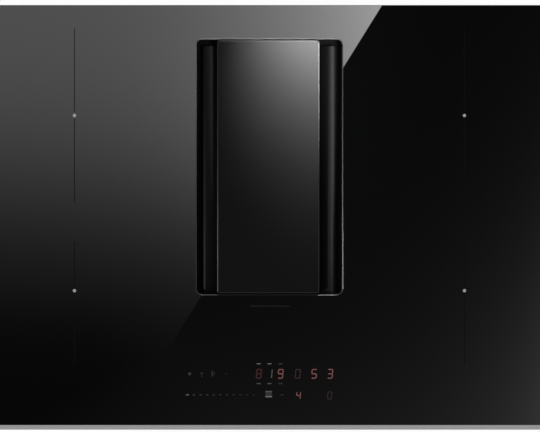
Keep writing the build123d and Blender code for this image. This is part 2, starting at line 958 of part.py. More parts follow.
def bracket_screw_places():
    """Side, Y and Z of each screw that holds a worktop bracket to the tray."""
    z = bracket_top_z() - bracket_screw_drop
    places = []
    for side in sides.values():
        for end in (-1, 1):
            for step in (-1, 1):
                places.append((side, end * bracket_y + step * bracket_screw_spacing / 2, z))
    return places


def bracket_top_z():
    """The brackets reach up to the underside of the worktop."""
    return glass_bottom_z - worktop_seal_thickness - worktop_thickness


def power_board_corners(side):
    """The fixing points of a power board, on the left (-1) or right (1)."""
    reach_x = power_board_width / 2 - board_hole_inset
    reach_y = power_board_depth / 2 - board_hole_inset
    corners = []
    for dx in (-1, 1):
        for dy in (-1, 1):
            corners.append((side * zone_x + dx * reach_x, power_board_centre_y + dy * reach_y))
    return corners


def filter_board_corners():
    """The fixing points of the mains filter board."""
    reach_x = filter_board_width / 2 - board_hole_inset
    reach_y = filter_board_depth / 2 - board_hole_inset
    corners = []
    for dx in (-1, 1):
        for dy in (-1, 1):
            corners.append((filter_board_centre_x + dx * reach_x, filter_board_centre_y + dy * reach_y))
    return corners


def hob_tray():
    outer = plate(tray_width, tray_depth, tray_corner_radius, tray_floor_z, tray_rim_z)
    hollow = plate(
        tray_width - 2 * tray_sheet,
        tray_depth - 2 * tray_sheet,
        tray_corner_radius - tray_sheet,
        tray_inner_z,
        tray_rim_z - tray_sheet,
    )
    mouth = plate(
        tray_width - 2 * tray_rim,
        tray_depth - 2 * tray_rim,
        tray_corner_radius,
        tray_rim_z - tray_sheet,
        tray_rim_z,
    )
    body = outer - hollow - mouth

    # A collar round the hole that the throat of the bowl goes down through.
    well_half = throat_half_width + bowl_wall + well_gap
    well_depth = throat_depth + 2 * (bowl_wall + well_gap)
    body += plate(
        2 * (well_half + tray_sheet),
        well_depth + 2 * tray_sheet,
        well_corner_radius + tray_sheet,
        tray_floor_z,
        tray_inner_z + well_collar_height,
        y=throat_centre_y,
    )
    body -= plate(
        2 * well_half,
        well_depth,
        well_corner_radius,
        tray_floor_z,
        tray_inner_z + well_collar_height,
        y=throat_centre_y,
    )

    bosses = []
    for x, y in power_board_corners(-1) + power_board_corners(1) + filter_board_corners():
        bosses.append(disc(boss_radius, tray_inner_z, board_bottom_z, x, y))
    body += bosses

    cuts = []
    for side in sides.values():
        for step in range(intake_slot_count):
            offset = (step - (intake_slot_count - 1) / 2) * intake_slot_pitch
            chord = (fan_bore_radius**2 - offset**2) ** 0.5
            slot = SlotOverall(2 * chord, intake_slot_width)
            place = Pos(side * zone_x, fan_y + offset, tray_floor_z)
            cuts.append(extrude(place * slot, tray_sheet))
        for end in (-1, 1):
            for step in range(vent_slot_count):
                y = end * bracket_y / 3 + (step - (vent_slot_count - 1) / 2) * vent_slot_pitch
                z = (tray_floor_z + tray_rim_z) / 2
                wall = side * (tray_width / 2 - tray_sheet / 2)
                cut = Box(2 * tray_sheet, vent_slot_width, vent_slot_height)
                cuts.append(Pos(wall, y, z) * cut)
        for step in range(front_slot_count):
            x = side * zone_x + (step - (front_slot_count - 1) / 2) * front_slot_pitch
            wall = -(tray_depth / 2 - tray_sheet / 2)
            cut = Box(front_slot_length, 2 * tray_sheet, front_slot_height)
            for level in (1 / 3, 2 / 3):
                cuts.append(Pos(x, wall, tray_floor_z + level * tray_height) * cut)
    for x, y in casing_screw_places() + terminal_screw_places():
        cuts.append(disc(screw_hole_radius, tray_floor_z, tray_inner_z, x, y))
    for side, y, z in bracket_screw_places():
        wall = side * (tray_width / 2 - tray_sheet / 2)
        cuts.append(rod_x(screw_hole_radius, wall - tray_sheet, wall + tray_sheet, y, z))
    return body - cuts


def glass_adhesive():
    return plate_ring(
        tray_width - 2 * seal_inset,
        tray_depth - 2 * seal_inset,
        tray_corner_radius - seal_inset,
        tray_rim - 2 * seal_inset,
        tray_rim_z,
        glass_bottom_z,
    )


def worktop_seal():
    return plate_ring(
        glass_width - 2 * worktop_seal_edge_gap,
        glass_depth - 2 * worktop_seal_edge_gap,
        glass_corner_radius - worktop_seal_edge_gap,
        worktop_seal_width,
        glass_bottom_z - worktop_seal_thickness,
        glass_bottom_z,
    )


def fixing_brackets():
    top = bracket_top_z()
    half = bracket_width / 2
    wall = tray_width / 2
    shape = block(wall, wall + bracket_sheet, -half, half, top - bracket_leg, top)
    shape += block(wall, wall + bracket_reach, -half, half, top - bracket_sheet, top)
    shape -= disc(bracket_hole_radius, top - bracket_sheet, top, wall + bracket_hole_reach, 0)
    for step in (-1, 1):
        y = step * bracket_screw_spacing / 2
        shape -= rod_x(screw_hole_radius, wall, wall + bracket_sheet, y, top - bracket_screw_drop)
    brackets = []
    for end in (-1, 1):
        right = Pos(0, end * bracket_y, 0) * shape
        brackets += [right, mirror(right, Plane.YZ)]
    return group(brackets)


def pan_head_screw():
    """A screw whose head lies below the origin and whose shank points up."""
    head = disc(screw_head_radius, -screw_head_height, 0)
    head = fillet(head.faces().sort_by(Axis.Z)[0].edges(), screw_head_height / 2)
    cross = Box(screw_head_radius, screw_cross_width, screw_cross_depth)
    cross += Box(screw_cross_width, screw_head_radius, screw_cross_depth)
    head -= Pos(0, 0, -screw_head_height + screw_cross_depth / 2) * cross
    return head + disc(screw_shank_radius, 0, screw_length)


def pan_head_screws():
    screw = pan_head_screw()
    screws = []
    for x, y in casing_screw_places():
        screws.append(Pos(x, y, casing_height - casing_flange_thickness) * screw)
    for x, y in terminal_screw_places():
        screws.append(Pos(x, y, tray_floor_z - terminal_ear_thickness) * screw)
    for side, y, z in bracket_screw_places():
        turn = Rot(0, -90 * side, 0)
        screws.append(Pos(side * (tray_width / 2 + bracket_sheet), y, z) * turn * screw)
    return group(screws)


# ---- Coils


def coil_winding(x, y):
    """A flat ring of wire turns, grooved between them."""
    pitch = (coil_outer_radius - coil_inner_radius) / coil_groove_count
    top = insulation_bottom_z
    steps = [(coil_inner_radius, 0, coil_bottom_z), (coil_inner_radius, 0, top - coil_groove_depth)]
    for turn in range(coil_groove_count):
        left = coil_inner_radius + turn * pitch
        crown = (left + pitch / 2, 0, top)
        steps.append((crown, (left + pitch, 0, top - coil_groove_depth)))
    steps.append((coil_outer_radius, 0, coil_bottom_z))
    return revolve_up(closed_face(steps), x, y)


def ferrite_bars():
    bar = block(
        ferrite_inner_radius,
        ferrite_outer_radius,
        -ferrite_width / 2,
        ferrite_width / 2,
        ferrite_bottom_z,
        coil_bottom_z,
    )
    bars = []
    for x, y in zones.values():
        for step in range(ferrite_count):
            bars.append(Pos(x, y, 0) * Rot(0, 0, (step + 0.5) * 360 / ferrite_count) * bar)
    return group(bars)


def coil_carrier(x, y):
    """An aluminium plate under a coil, on four bent legs that stand on the tray."""
    body = plate(
        carrier_width, carrier_depth, carrier_corner_radius, carrier_bottom_z, ferrite_bottom_z, x, y
    )
    for dx in (-1, 1):
        for dy in (-1, 1):
            outer = x + dx * carrier_width / 2
            inner = outer - dx * carrier_thickness
            middle = y + dy * (carrier_depth / 2 - carrier_leg_inset)
            body += block(
                min(inner, outer),
                max(inner, outer),
                middle - carrier_leg_width / 2,
                middle + carrier_leg_width / 2,
                tray_inner_z,
                ferrite_bottom_z,
            )
    return body


def insulation_sheets():
    sheets = []
    for x, y in zones.values():
        size = insulation_size
        radius = insulation_corner_radius
        sheet = plate(size, size, radius, insulation_bottom_z, glass_bottom_z, x, y)
        sheets.append(sheet - disc(sensor_hole_radius, insulation_bottom_z, glass_bottom_z, x, y))
    return group(sheets)


def temperature_sensors():
    sensors = []
    for x, y in zones.values():
        low = glass_bottom_z - sensor_height
        body = disc(sensor_radius, low, glass_bottom_z, x, y)
        pin_radius = spring_radius - 2 * spring_wire_radius
        sensors.append(body + disc(pin_radius, low - sensor_height / 2, low, x, y))
    return group(sensors)


def sensor_springs():
    low = ferrite_bottom_z + spring_wire_radius
    high = glass_bottom_z - sensor_height - spring_wire_radius
    path = Helix((high - low) / spring_turns, high - low, spring_radius)
    wire = Plane(origin=path @ 0, z_dir=path % 0) * Circle(spring_wire_radius)
    spring = sweep(wire, path=path)
    return group([Pos(x, y, low) * spring for x, y in zones.values()])


# ---- Power electronics and their fans


def power_board(side):
    board = plate(
        power_board_width,
        power_board_depth,
        board_corner_radius,
        board_bottom_z,
        board_top_z,
        side * zone_x,
        power_board_centre_y,
    )
    return board - board_holes(power_board_corners(side))


def board_holes(places):
    """The screw holes of a circuit board."""
    return [disc(screw_shank_radius, board_bottom_z, board_top_z, x, y) for x, y in places]


def heat_sink(side):
    """A finned extrusion along Y, over the inner half of a power board."""
    half = heat_sink_width / 2
    shape = block(-half, half, -heat_sink_length / 2, heat_sink_length / 2, 0, heat_sink_base)
    pitch = (heat_sink_width - heat_sink_fin_thickness) / (heat_sink_fins - 1)
    fins = []
    for step in range(heat_sink_fins):
        left = -half + step * pitch
        right = left + heat_sink_fin_thickness
        fins.append(
            block(left, right, -heat_sink_length / 2, heat_sink_length / 2,
                  heat_sink_base, heat_sink_height)
        )
    x = side * (zone_x - power_board_width / 4)
    return Pos(x, power_board_centre_y, board_top_z) * (shape + fins)


def power_components(side):
    """Film capacitors in a row and one ring choke, on the outer half of a power board."""
    x = side * (zone_x + power_board_width / 5)
    start = power_board_centre_y - power_board_depth / 2 + 2 * board_hole_inset + capacitor_width
    pieces = []
    for step in range(capacitor_count):
        y = start + step * capacitor_pitch
        top = board_top_z + capacitor_height
        can = plate(capacitor_length, capacitor_width, capacitor_corner_radius, board_top_z, top, x, y)
        pieces.append(fillet(can.faces().sort_by(Axis.Z)[-1].edges(), capacitor_edge_fillet))
    y = start + capacitor_count * capacitor_pitch + choke_outer_radius - capacitor_width / 2
    pieces.append(choke(x, y))
    return group(pieces)


def choke(x, y):
    """A wound ring choke lying flat on its board."""
    body = ring(choke_outer_radius, choke_inner_radius, board_top_z, board_top_z + choke_height, x, y)
    return fillet(body.faces().sort_by(Axis.Z)[-1].edges(), choke_fillet)


def filter_board():
    board = plate(
        filter_board_width,
        filter_board_depth,
        board_corner_radius,
        board_bottom_z,
        board_top_z,
        filter_board_centre_x,
        filter_board_centre_y,
    )
    return board - board_holes(filter_board_corners())


def mains_chokes():
    places = [filter_board_centre_x + step * mains_choke_pitch for step in (-1, 0, 1)]
    return group([choke(x, filter_board_centre_y) for x in places])


def cooling_fan_frame(side):
    x = side * zone_x
    top = tray_inner_z + fan_height
    plate_top = tray_inner_z + fan_plate_thickness
    body = plate(fan_size, fan_size, fan_corner_radius, tray_inner_z, top, x, fan_y)
    body -= disc(fan_bore_radius, tray_inner_z, top, x, fan_y)
    for dx in (-1, 1):
        for dy in (-1, 1):
            reach = fan_size / 2 - fan_hole_inset
            body -= disc(fan_hole_radius, tray_inner_z, top, x + dx * reach, fan_y + dy * reach)
    spokes = block(-fan_bore_radius, fan_bore_radius, -fan_spoke_width / 2, fan_spoke_width / 2,
                   tray_inner_z, plate_top)
    spokes += block(-fan_spoke_width / 2, fan_spoke_width / 2, -fan_bore_radius, fan_bore_radius,
                    tray_inner_z, plate_top)
    body += Pos(x, fan_y, 0) * (Rot(0, 0, 45) * spokes)
    body += disc(fan_hub_radius, tray_inner_z, plate_top, x, fan_y)
    post_radius = 3 * fan_spindle_radius
    body += disc(post_radius, plate_top, tray_inner_z + fan_height / 2, x, fan_y)
    return body - disc(fan_spindle_radius + fan_running_gap, plate_top, top, x, fan_y)


def cooling_fan_rotor(side):
    """The hub with its pitched blades, on a spindle in the middle of the frame."""
    low = tray_inner_z + 2 * fan_plate_thickness
    high = tray_inner_z + fan_height - fan_top_gap
    hub = disc(fan_hub_radius, low, high)
    hub -= disc(fan_hub_radius - fan_hub_wall, low, high - 2 * fan_hub_wall)
    middle = (low + high) / 2
    span = fan_size / 2 - fan_hub_radius + fan_blade_root
    blade = Box(span, fan_blade_chord, fan_blade_thickness)
    blade = Pos(fan_hub_radius - fan_blade_root + span / 2, 0, middle) * Rot(fan_blade_pitch, 0, 0) * blade
    blades = [Rot(0, 0, step * 360 / fan_blade_count) * blade for step in range(fan_blade_count)]
    blades = (Part() + blades) & ring(fan_blade_radius, fan_hub_radius - fan_blade_root / 2, low, high)
    spindle_z = tray_inner_z + fan_plate_thickness + fan_top_gap
    spindle = disc(fan_spindle_radius, spindle_z, high - fan_hub_wall)
    return Pos(side * zone_x, fan_y, 0) * (hub + [blades, spindle])


# ---- Touch control


def control_board():
    return plate(
        control_width,
        control_depth,
        control_corner_radius,
        control_board_bottom_z,
        control_board_top_z,
        y=control_centre_y,
    )


def display_modules():
    modules = []
    low, high = control_board_top_z, glass_bottom_z
    for x in display_places:
        modules.append(
            plate(display_width, display_depth, display_corner_radius, low, high, x, display_row_y)
        )
    return group(modules)


def touch_springs():
    springs = []
    for step in range(touch_count):
        x = (step - (touch_count - 1) / 2) * touch_pitch
        spring = disc(touch_spring_radius, control_board_top_z, glass_bottom_z, x, touch_row_y)
        inner = touch_spring_radius - touch_spring_wall
        springs.append(spring - disc(inner, control_board_top_z, glass_bottom_z, x, touch_row_y))
    return group(springs)


def control_bracket():
    """A plastic frame that presses the control board up to the glass, on four legs."""
    low = control_board_bottom_z - bracket_ring_height
    body = plate_ring(
        control_width,
        control_depth,
        control_corner_radius,
        bracket_ring_width,
        low,
        control_board_bottom_z,
        y=control_centre_y,
    )
    for dx in (-1, 1):
        for dy in (-1, 1):
            x = dx * (control_width / 2 - bracket_leg_radius - bracket_leg_inset)
            y = control_centre_y + dy * (control_depth / 2 - bracket_leg_radius - bracket_leg_inset)
            body += disc(bracket_leg_radius, tray_inner_z, low + bracket_ring_height / 2, x, y)
    return body


# ---- Mains inlet


def terminal_block():
    middle_x = terminal_left_x + terminal_width / 2
    middle_y = (terminal_front_y + terminal_rear_y) / 2
    low = tray_floor_z - terminal_block_height
    half = terminal_block_length / 2
    body = block(
        middle_x - half,
        middle_x + half,
        middle_y - terminal_block_depth / 2,
        middle_y + terminal_block_depth / 2,
        low,
        tray_floor_z,
    )
    pitch = terminal_block_length / terminal_ways
    for way in range(terminal_ways):
        x = middle_x - half + (way + 0.5) * pitch
        body -= disc(terminal_way_radius, low, low + terminal_block_height / 2, x, middle_y)
        body -= block(
            x - terminal_wire_width / 2,
            x + terminal_wire_width / 2,
            middle_y,
            middle_y + terminal_block_depth / 2,
            low + terminal_wire_rise,
            low + terminal_wire_rise + terminal_wire_width,
        )
    return body


def terminal_cover():
    left, right = terminal_left_x, terminal_left_x + terminal_width
    low = tray_floor_z - terminal_cover_depth
    width = right - left
    depth = terminal_rear_y - terminal_front_y
    middle_x = (left + right) / 2
    middle_y = (terminal_front_y + terminal_rear_y) / 2
    body = plate(width, depth, terminal_corner_radius, low, tray_floor_z, middle_x, middle_y)
    body = fillet(body.faces().sort_by(Axis.Z)[0].edges(), terminal_edge_fillet)
    body -= plate(
        width - 2 * terminal_cover_wall,
        depth - 2 * terminal_cover_wall,
        terminal_corner_radius - terminal_cover_wall,
        low + terminal_cover_wall,
        tray_floor_z,
        middle_x,
        middle_y,
    )
    ear_z = tray_floor_z - terminal_ear_thickness
    for x, y in terminal_screw_places():
        length = terminal_ear + terminal_ear_radius
        inward = terminal_ear_radius / 2 if x < middle_x else -terminal_ear_radius / 2
        ear = plate(length, terminal_ear, terminal_ear_radius, ear_z, tray_floor_z, x + inward, y)
        body += ear - block(left, right, terminal_front_y, terminal_rear_y, ear_z, tray_floor_z)
        body -= disc(screw_hole_radius, ear_z, tray_floor_z, x, y)
    wall_y = terminal_rear_y - terminal_cover_wall
    hole_radius = gland_thread_radius + gland_fit
    return body - rod_y(hole_radius, wall_y, terminal_rear_y, middle_x, gland_z())


def gland_z():
    """The height of the gland's axis."""
    return tray_floor_z - terminal_cover_depth / 2


def cable_gland():
    x = terminal_left_x + terminal_width / 2
    z = gland_z()
    wall_in = terminal_rear_y - terminal_cover_wall
    end = terminal_rear_y + gland_length
    nut = extrude(RegularPolygon(gland_nut_across / 2, 6, major_radius=False), gland_nut_thickness)
    nut = Pos(x, wall_in, z) * Rot(90, 0, 0) * nut
    body = rod_y(gland_thread_radius, wall_in, terminal_rear_y, x, z)
    hexagon = extrude(RegularPolygon(gland_nut_across / 2, 6, major_radius=False), gland_nut_thickness)
    body += Pos(x, terminal_rear_y + gland_nut_thickness, z) * Rot(90, 0, 0) * hexagon
    dome = rod_y(gland_body_radius, terminal_rear_y, end, x, z)
    dome = fillet(dome.faces().sort_by(Axis.Y)[-1].edges(), gland_dome_fillet)
    body += [nut, dome]
    return body - rod_y(gland_bore_radius, wall_in - gland_nut_thickness, end, x, z)


# ---- Air box


def lower_casing():
    width = casing_right_x - casing_left_x
    depth = casing_rear_y - casing_front_y
    middle_x = (casing_left_x + casing_right_x) / 2
    middle_y = (casing_front_y + casing_rear_y) / 2
    body = plate(width, depth, casing_corner_radius, 0, casing_height, middle_x, middle_y)
    body = fillet(body.faces().sort_by(Axis.Z)[0].edges(), casing_base_fillet)
    body += plate(
        width + 2 * casing_flange,
        depth + 2 * casing_flange,
        casing_corner_radius + casing_flange,
        casing_height - casing_flange_thickness,
        casing_height,
        middle_x,
        middle_y,
    )

    ribs = []
    rib_top = casing_height - casing_flange_thickness
    count_x = int((width - 2 * casing_corner_radius) / casing_rib_pitch)
    for step in range(count_x + 1):
        x = middle_x + (step - count_x / 2) * casing_rib_pitch
        ribs.append(
            block(x - casing_rib_width / 2, x + casing_rib_width / 2,
                  casing_front_y - casing_rib_proud, casing_front_y + casing_rib_root,
                  casing_rib_bottom, rib_top)
        )
    count_y = int((depth - 2 * casing_corner_radius) / casing_rib_pitch)
    for step in range(count_y + 1):
        y = middle_y + (step - count_y / 2) * casing_rib_pitch
        for wall, sign in ((casing_left_x, -1), (casing_right_x, 1)):
            outer = wall + sign * casing_rib_proud
            inner = wall - sign * casing_rib_root
            ribs.append(
                block(min(outer, inner), max(outer, inner),
                      y - casing_rib_width / 2, y + casing_rib_width / 2, casing_rib_bottom, rib_top)
            )
    body += ribs

    hollow = plate(
        width - 2 * casing_wall,
        depth - 2 * casing_wall,
        casing_corner_radius - casing_wall,
        casing_wall,
        casing_height,
        middle_x,
        middle_y,
    )
    body -= fillet(hollow.faces().sort_by(Axis.Z)[0].edges(), casing_base_fillet - casing_wall)

    for sx in (-1, 1):
        for sy in (-1, 1):
            corner_x = sx * (drip_width / 2 + fence_gap)
            corner_y = throat_centre_y + sy * (drip_depth / 2 + fence_gap)
            body += fence_corner(corner_x, corner_y, sx, sy)

    left, right, low, high = spigot_outer()
    body -= block(
        left - spigot_gap,
        right + spigot_gap,
        casing_rear_y - casing_wall,
        casing_rear_y,
        low - spigot_gap,
        high + spigot_gap,
    )
    holes = []
    for x, y in casing_screw_places():
        holes.append(disc(screw_hole_radius, rib_top, casing_height, x, y))
    return body - holes


def fence_corner(x, y, sx, sy):
    """An upright angle on the floor of the air box that keeps a corner of the drip tray in place."""
    arm_x = (x - sx * fence_leg, x + sx * fence_wall)
    arm_y = (y, y + sy * fence_wall)
    top = casing_wall + fence_height
    corner = block(min(arm_x), max(arm_x), min(arm_y), max(arm_y), casing_wall, top)
    arm_x = (x, x + sx * fence_wall)
    arm_y = (y - sy * fence_leg, y + sy * fence_wall)
    return corner + block(min(arm_x), max(arm_x), min(arm_y), max(arm_y), casing_wall, top)


def casing_seal():
    width = casing_right_x - casing_left_x
    depth = casing_rear_y - casing_front_y
    middle_x = (casing_left_x + casing_right_x) / 2
    middle_y = (casing_front_y + casing_rear_y) / 2
    grow = casing_seal_width - casing_wall
    return plate_ring(
        width + 2 * grow,
        depth + 2 * grow,
        casing_corner_radius + grow,
        casing_seal_width,
        casing_height,
        tray_floor_z,
        middle_x,
        middle_y,
    )


# ---- Blower


def scroll_point(angle, extra):
    """A point on the spiral wall, at an angle from +X in degrees, moved out by extra."""
    share = (angle - scroll_tongue_angle) / (360 - scroll_tongue_angle)
    radius = scroll_start_radius + share * (scroll_end_radius - scroll_start_radius) + extra
    turn = radians(angle)
    return (blower_x + radius * cos(turn), blower_y + radius * sin(turn))


def scroll_face(extra):
    """The inside outline of the scroll, with its walls moved out by extra."""
    step = (360 - scroll_tongue_angle) / (scroll_points - 1)
    points = [scroll_point(scroll_tongue_angle + index * step, extra) for index in range(scroll_points)]
    right = (scroll_right_x + extra, scroll_end_y + extra)
    left = (spigot_inner_left_x - extra, scroll_end_y + extra)
    spiral = Spline(points)
    return make_face([spiral, Line(points[-1], right), Line(right, left), Line(left, points[0])])


def scroll_housing():
    wall = extrude(Pos(0, 0, scroll_inner_bottom_z) * scroll_face(scroll_wall),
                   scroll_inner_top_z - scroll_inner_bottom_z)
    wall -= extrude(Pos(0, 0, scroll_inner_bottom_z) * scroll_face(0),
                    scroll_inner_top_z - scroll_inner_bottom_z)
    wall -= block(
        spigot_inner_left_x,
        spigot_inner_right_x,
        scroll_end_y - scroll_mouth_overlap,
        scroll_end_y + scroll_wall,
        scroll_inner_bottom_z,
        scroll_inner_top_z,
    )
    floor = extrude(Pos(0, 0, scroll_bottom_z) * scroll_face(scroll_wall), scroll_wall)
    floor -= disc(inlet_hole_radius, scroll_bottom_z, scroll_inner_bottom_z, blower_x, blower_y)
    return wall + floor


def motor_hole_places():
    """The four screws of the motor flange, on a circle round the blower's axis."""
    places = []
    for step in range(motor_hole_count):
        turn = radians((step + 0.5) * 360 / motor_hole_count)
        places.append((blower_x + motor_hole_circle * cos(turn), blower_y + motor_hole_circle * sin(turn)))
    return places


def scroll_cover():
    cover = extrude(Pos(0, 0, scroll_inner_top_z) * scroll_face(scroll_wall), scroll_wall)
    holes = []
    for x, y in motor_hole_places():
        holes.append(disc(motor_hole_radius, scroll_inner_top_z, scroll_top_z, x, y))
    return cover - holes


def motor_mounts():
    """Rubber buffers between the scroll and the tray above it."""
    mounts = []
    reach = scroll_start_radius - 2 * scroll_mount_radius
    for step in range(motor_hole_count):
        turn = radians((step + 0.5) * 360 / motor_hole_count)
        x = blower_x + reach * cos(turn)
        y = blower_y + reach * sin(turn)
        mounts.append(disc(scroll_mount_radius, scroll_top_z, tray_floor_z, x, y))
    return group(mounts)


def inlet_ring():
    """A flange under the scroll whose inner edge curls up into a short bell mouth."""
    low = scroll_bottom_z - inlet_sheet
    centre_x = inlet_throat_radius + inlet_curve_radius
    centre_z = low + inlet_curve_radius
    inner_radius = inlet_curve_radius - inlet_sheet
    face = closed_face(
        [
            (inlet_flange_radius, 0, low),
            (centre_x, 0, low),
            arc_xz(centre_x, centre_z, inlet_curve_radius, 270, 180),
            (centre_x - inner_radius, 0, centre_z),
            arc_xz(centre_x, centre_z, inner_radius, 180, 270),
            (inlet_flange_radius, 0, scroll_bottom_z),
        ]
    )
    return revolve_up(face, blower_x, blower_y)


def blade_face(angle):
    """Section of one impeller blade, a thin curved strip."""
    turn = radians(impeller_blade_sweep)
    start = (impeller_blade_inner, 0, 0)
    end_radius = impeller_radius - impeller_blade_inset
    end = (end_radius * cos(turn), end_radius * sin(turn), 0)
    middle_x = (start[0] + end[0]) / 2
    middle_y = (start[1] + end[1]) / 2 - impeller_blade_bulge
    thick = impeller_blade_thickness
    face = closed_face(
        [
            start,
            ((middle_x, middle_y, 0), end),
            (end[0], end[1] + thick, 0),
            ((middle_x, middle_y + thick, 0), (start[0], thick, 0)),
        ]
    )
    return Rot(0, 0, angle) * face


def impeller():
    plate_z = impeller_top_z - impeller_plate_thickness
    shroud_top = impeller_bottom_z + impeller_shroud_thickness
    sleeve_inner = can_outer_radius + impeller_fit
    body = ring(impeller_radius, sleeve_inner, plate_z, impeller_top_z)
    body += ring(sleeve_inner + impeller_sleeve_wall, sleeve_inner, can_bottom_z, impeller_top_z)
    body += ring(impeller_radius, impeller_shroud_inner, impeller_bottom_z, shroud_top)
    angles = [step * 360 / impeller_blade_count for step in range(impeller_blade_count)]
    blades = extrude(
        Pos(0, 0, shroud_top - impeller_blade_root) * (Sketch() + [blade_face(angle) for angle in angles]),
        plate_z - shroud_top + 2 * impeller_blade_root,
    )
    return Pos(blower_x, blower_y, 0) * (body + blades)


def motor_rotor():
    """The can that turns round the stator, open at the top."""
    can = disc(can_outer_radius, can_bottom_z, can_top_z, blower_x, blower_y)
    can -= disc(can_outer_radius - can_wall, can_bottom_z + can_base, can_top_z, blower_x, blower_y)
    return can - disc(shaft_radius(), can_bottom_z, can_bottom_z + can_base, blower_x, blower_y)


def shaft_radius():
    """The shaft runs in the bearings with a small gap."""
    return bearing_inner_radius - shaft_running_gap


def motor_shaft():
    shaft = disc(shaft_radius(), can_bottom_z, bearing_top_z, blower_x, blower_y)
    return chamfer(shaft.faces().sort_by(Axis.Z)[-1].edges(), shaft_chamfer)


def bearing_face(low):
    """Section of a ball bearing as one ring, with a groove in each side between its races."""
    inner, outer, width = bearing_inner_radius, bearing_outer_radius, bearing_width
    race = (outer - inner) / 4
    dent = bearing_groove_depth
    outline = [
        (inner, low),
        (inner + race, low),
        (inner + race, low + dent),
        (outer - race, low + dent),
        (outer - race, low),
        (outer, low),
        (outer, low + width),
        (outer - race, low + width),
        (outer - race, low + width - dent),
        (inner + race, low + width - dent),
        (inner + race, low + width),
        (inner, low + width),
    ]
    return closed_face([(x, 0, z) for x, z in outline])


def motor_bearings():
    lows = (bearing_low_z, bearing_top_z - bearing_width)
    return group([revolve_up(bearing_face(low), blower_x, blower_y) for low in lows])


def motor_flange():
    """The fixed flange of the motor, with the tube that holds both bearings."""
    top = scroll_inner_top_z
    body = disc(motor_flange_radius, motor_flange_bottom_z, top, blower_x, blower_y)
    body += disc(bearing_tube_outer, bearing_low_z, motor_flange_bottom_z, blower_x, blower_y)
    body -= disc(bearing_outer_radius, bearing_low_z, bearing_top_z, blower_x, blower_y)
    holes = []
    for x, y in motor_hole_places():
        holes.append(disc(motor_hole_radius, motor_flange_bottom_z, top, x, y))
    return body - holes


def motor_stator():
    """The stack of laminations on the bearing tube, with its windings above and below."""
    middle = (can_bottom_z + can_base + can_top_z) / 2
    low, high = middle - stator_height / 2, middle + stator_height / 2
    stack = ring(stator_outer_radius, bearing_tube_outer, low, high)
    half = stator_slot_width / 2
    slot = block(bearing_tube_outer + stator_core, stator_outer_radius, -half, half, low, high)
    stack -= [Rot(0, 0, step * 360 / stator_slot_count) * slot for step in range(stator_slot_count)]
    heads = ring(winding_outer_radius, winding_inner_radius, low - winding_proud, low)
    heads += ring(winding_outer_radius, winding_inner_radius, high, high + winding_proud)
    return Pos(blower_x, blower_y, 0) * (stack + heads)


# ---- Outlet


def spigot_outer():
    """Left, right, low and high of the outside of the outlet."""
    return (
        spigot_inner_left_x - spigot_wall,
        spigot_inner_right_x + spigot_wall,
        spigot_inner_bottom_z - spigot_wall,
        spigot_inner_top_z + spigot_wall,
    )


def spigot_face(grow):
    """Section of the outlet in the XZ plane, its inside grown by the given amount."""
    width = spigot_inner_width + 2 * grow
    height = spigot_inner_top_z - spigot_inner_bottom_z + 2 * grow
    middle_x = (spigot_inner_left_x + spigot_inner_right_x) / 2
    middle_z = (spigot_inner_bottom_z + spigot_inner_top_z) / 2
    outline = RectangleRounded(width, height, spigot_corner_radius + grow)
    return Pos(middle_x, 0, middle_z) * Rot(90, 0, 0) * outline


def outlet_spigot():
    body = along_y(spigot_face(spigot_wall), spigot_start_y, spigot_end_y)
    collar_end = casing_rear_y - casing_wall
    body += along_y(
        spigot_face(spigot_wall + spigot_collar_width),
        collar_end - spigot_collar_length,
        collar_end,
    )
    body -= along_y(spigot_face(0), spigot_start_y, spigot_end_y)
    stop_y = flap_y - flap_thickness / 2 - flap_stop_gap
    body += block(
        spigot_inner_left_x + spigot_corner_radius,
        spigot_inner_right_x - spigot_corner_radius,
        stop_y - flap_stop_thickness,
        stop_y,
        spigot_inner_bottom_z - spigot_wall / 2,
        spigot_inner_bottom_z + flap_stop_height,
    )
    left, right, _, _ = spigot_outer()
    return body - rod_x(flap_pin_radius, left, right, flap_y, flap_axis_z)


def duct_flap():
    """The non-return flap: a thin leaf that hangs from a barrel round its pin."""
    left = spigot_inner_left_x + flap_edge_gap
    right = spigot_inner_right_x - flap_edge_gap
    low = spigot_inner_bottom_z + flap_edge_gap
    leaf = block(left, right, flap_y - flap_thickness / 2, flap_y + flap_thickness / 2, low, flap_axis_z)
    leaf = fillet(leaf.edges().filter_by(Axis.Y).group_by(Axis.Z)[0], spigot_corner_radius)
    barrel_left = spigot_inner_left_x + spigot_corner_radius
    barrel_right = spigot_inner_right_x - spigot_corner_radius
    barrel = rod_x(flap_barrel_radius, barrel_left, barrel_right, flap_y, flap_axis_z)
    return leaf + barrel - rod_x(flap_pin_radius + flap_running_gap, left, right, flap_y, flap_axis_z)


def flap_pin():
    left, right, _, _ = spigot_outer()
    return rod_x(flap_pin_radius, left, right, flap_y, flap_axis_z)


# ---- Every sub-part, by the name of its node

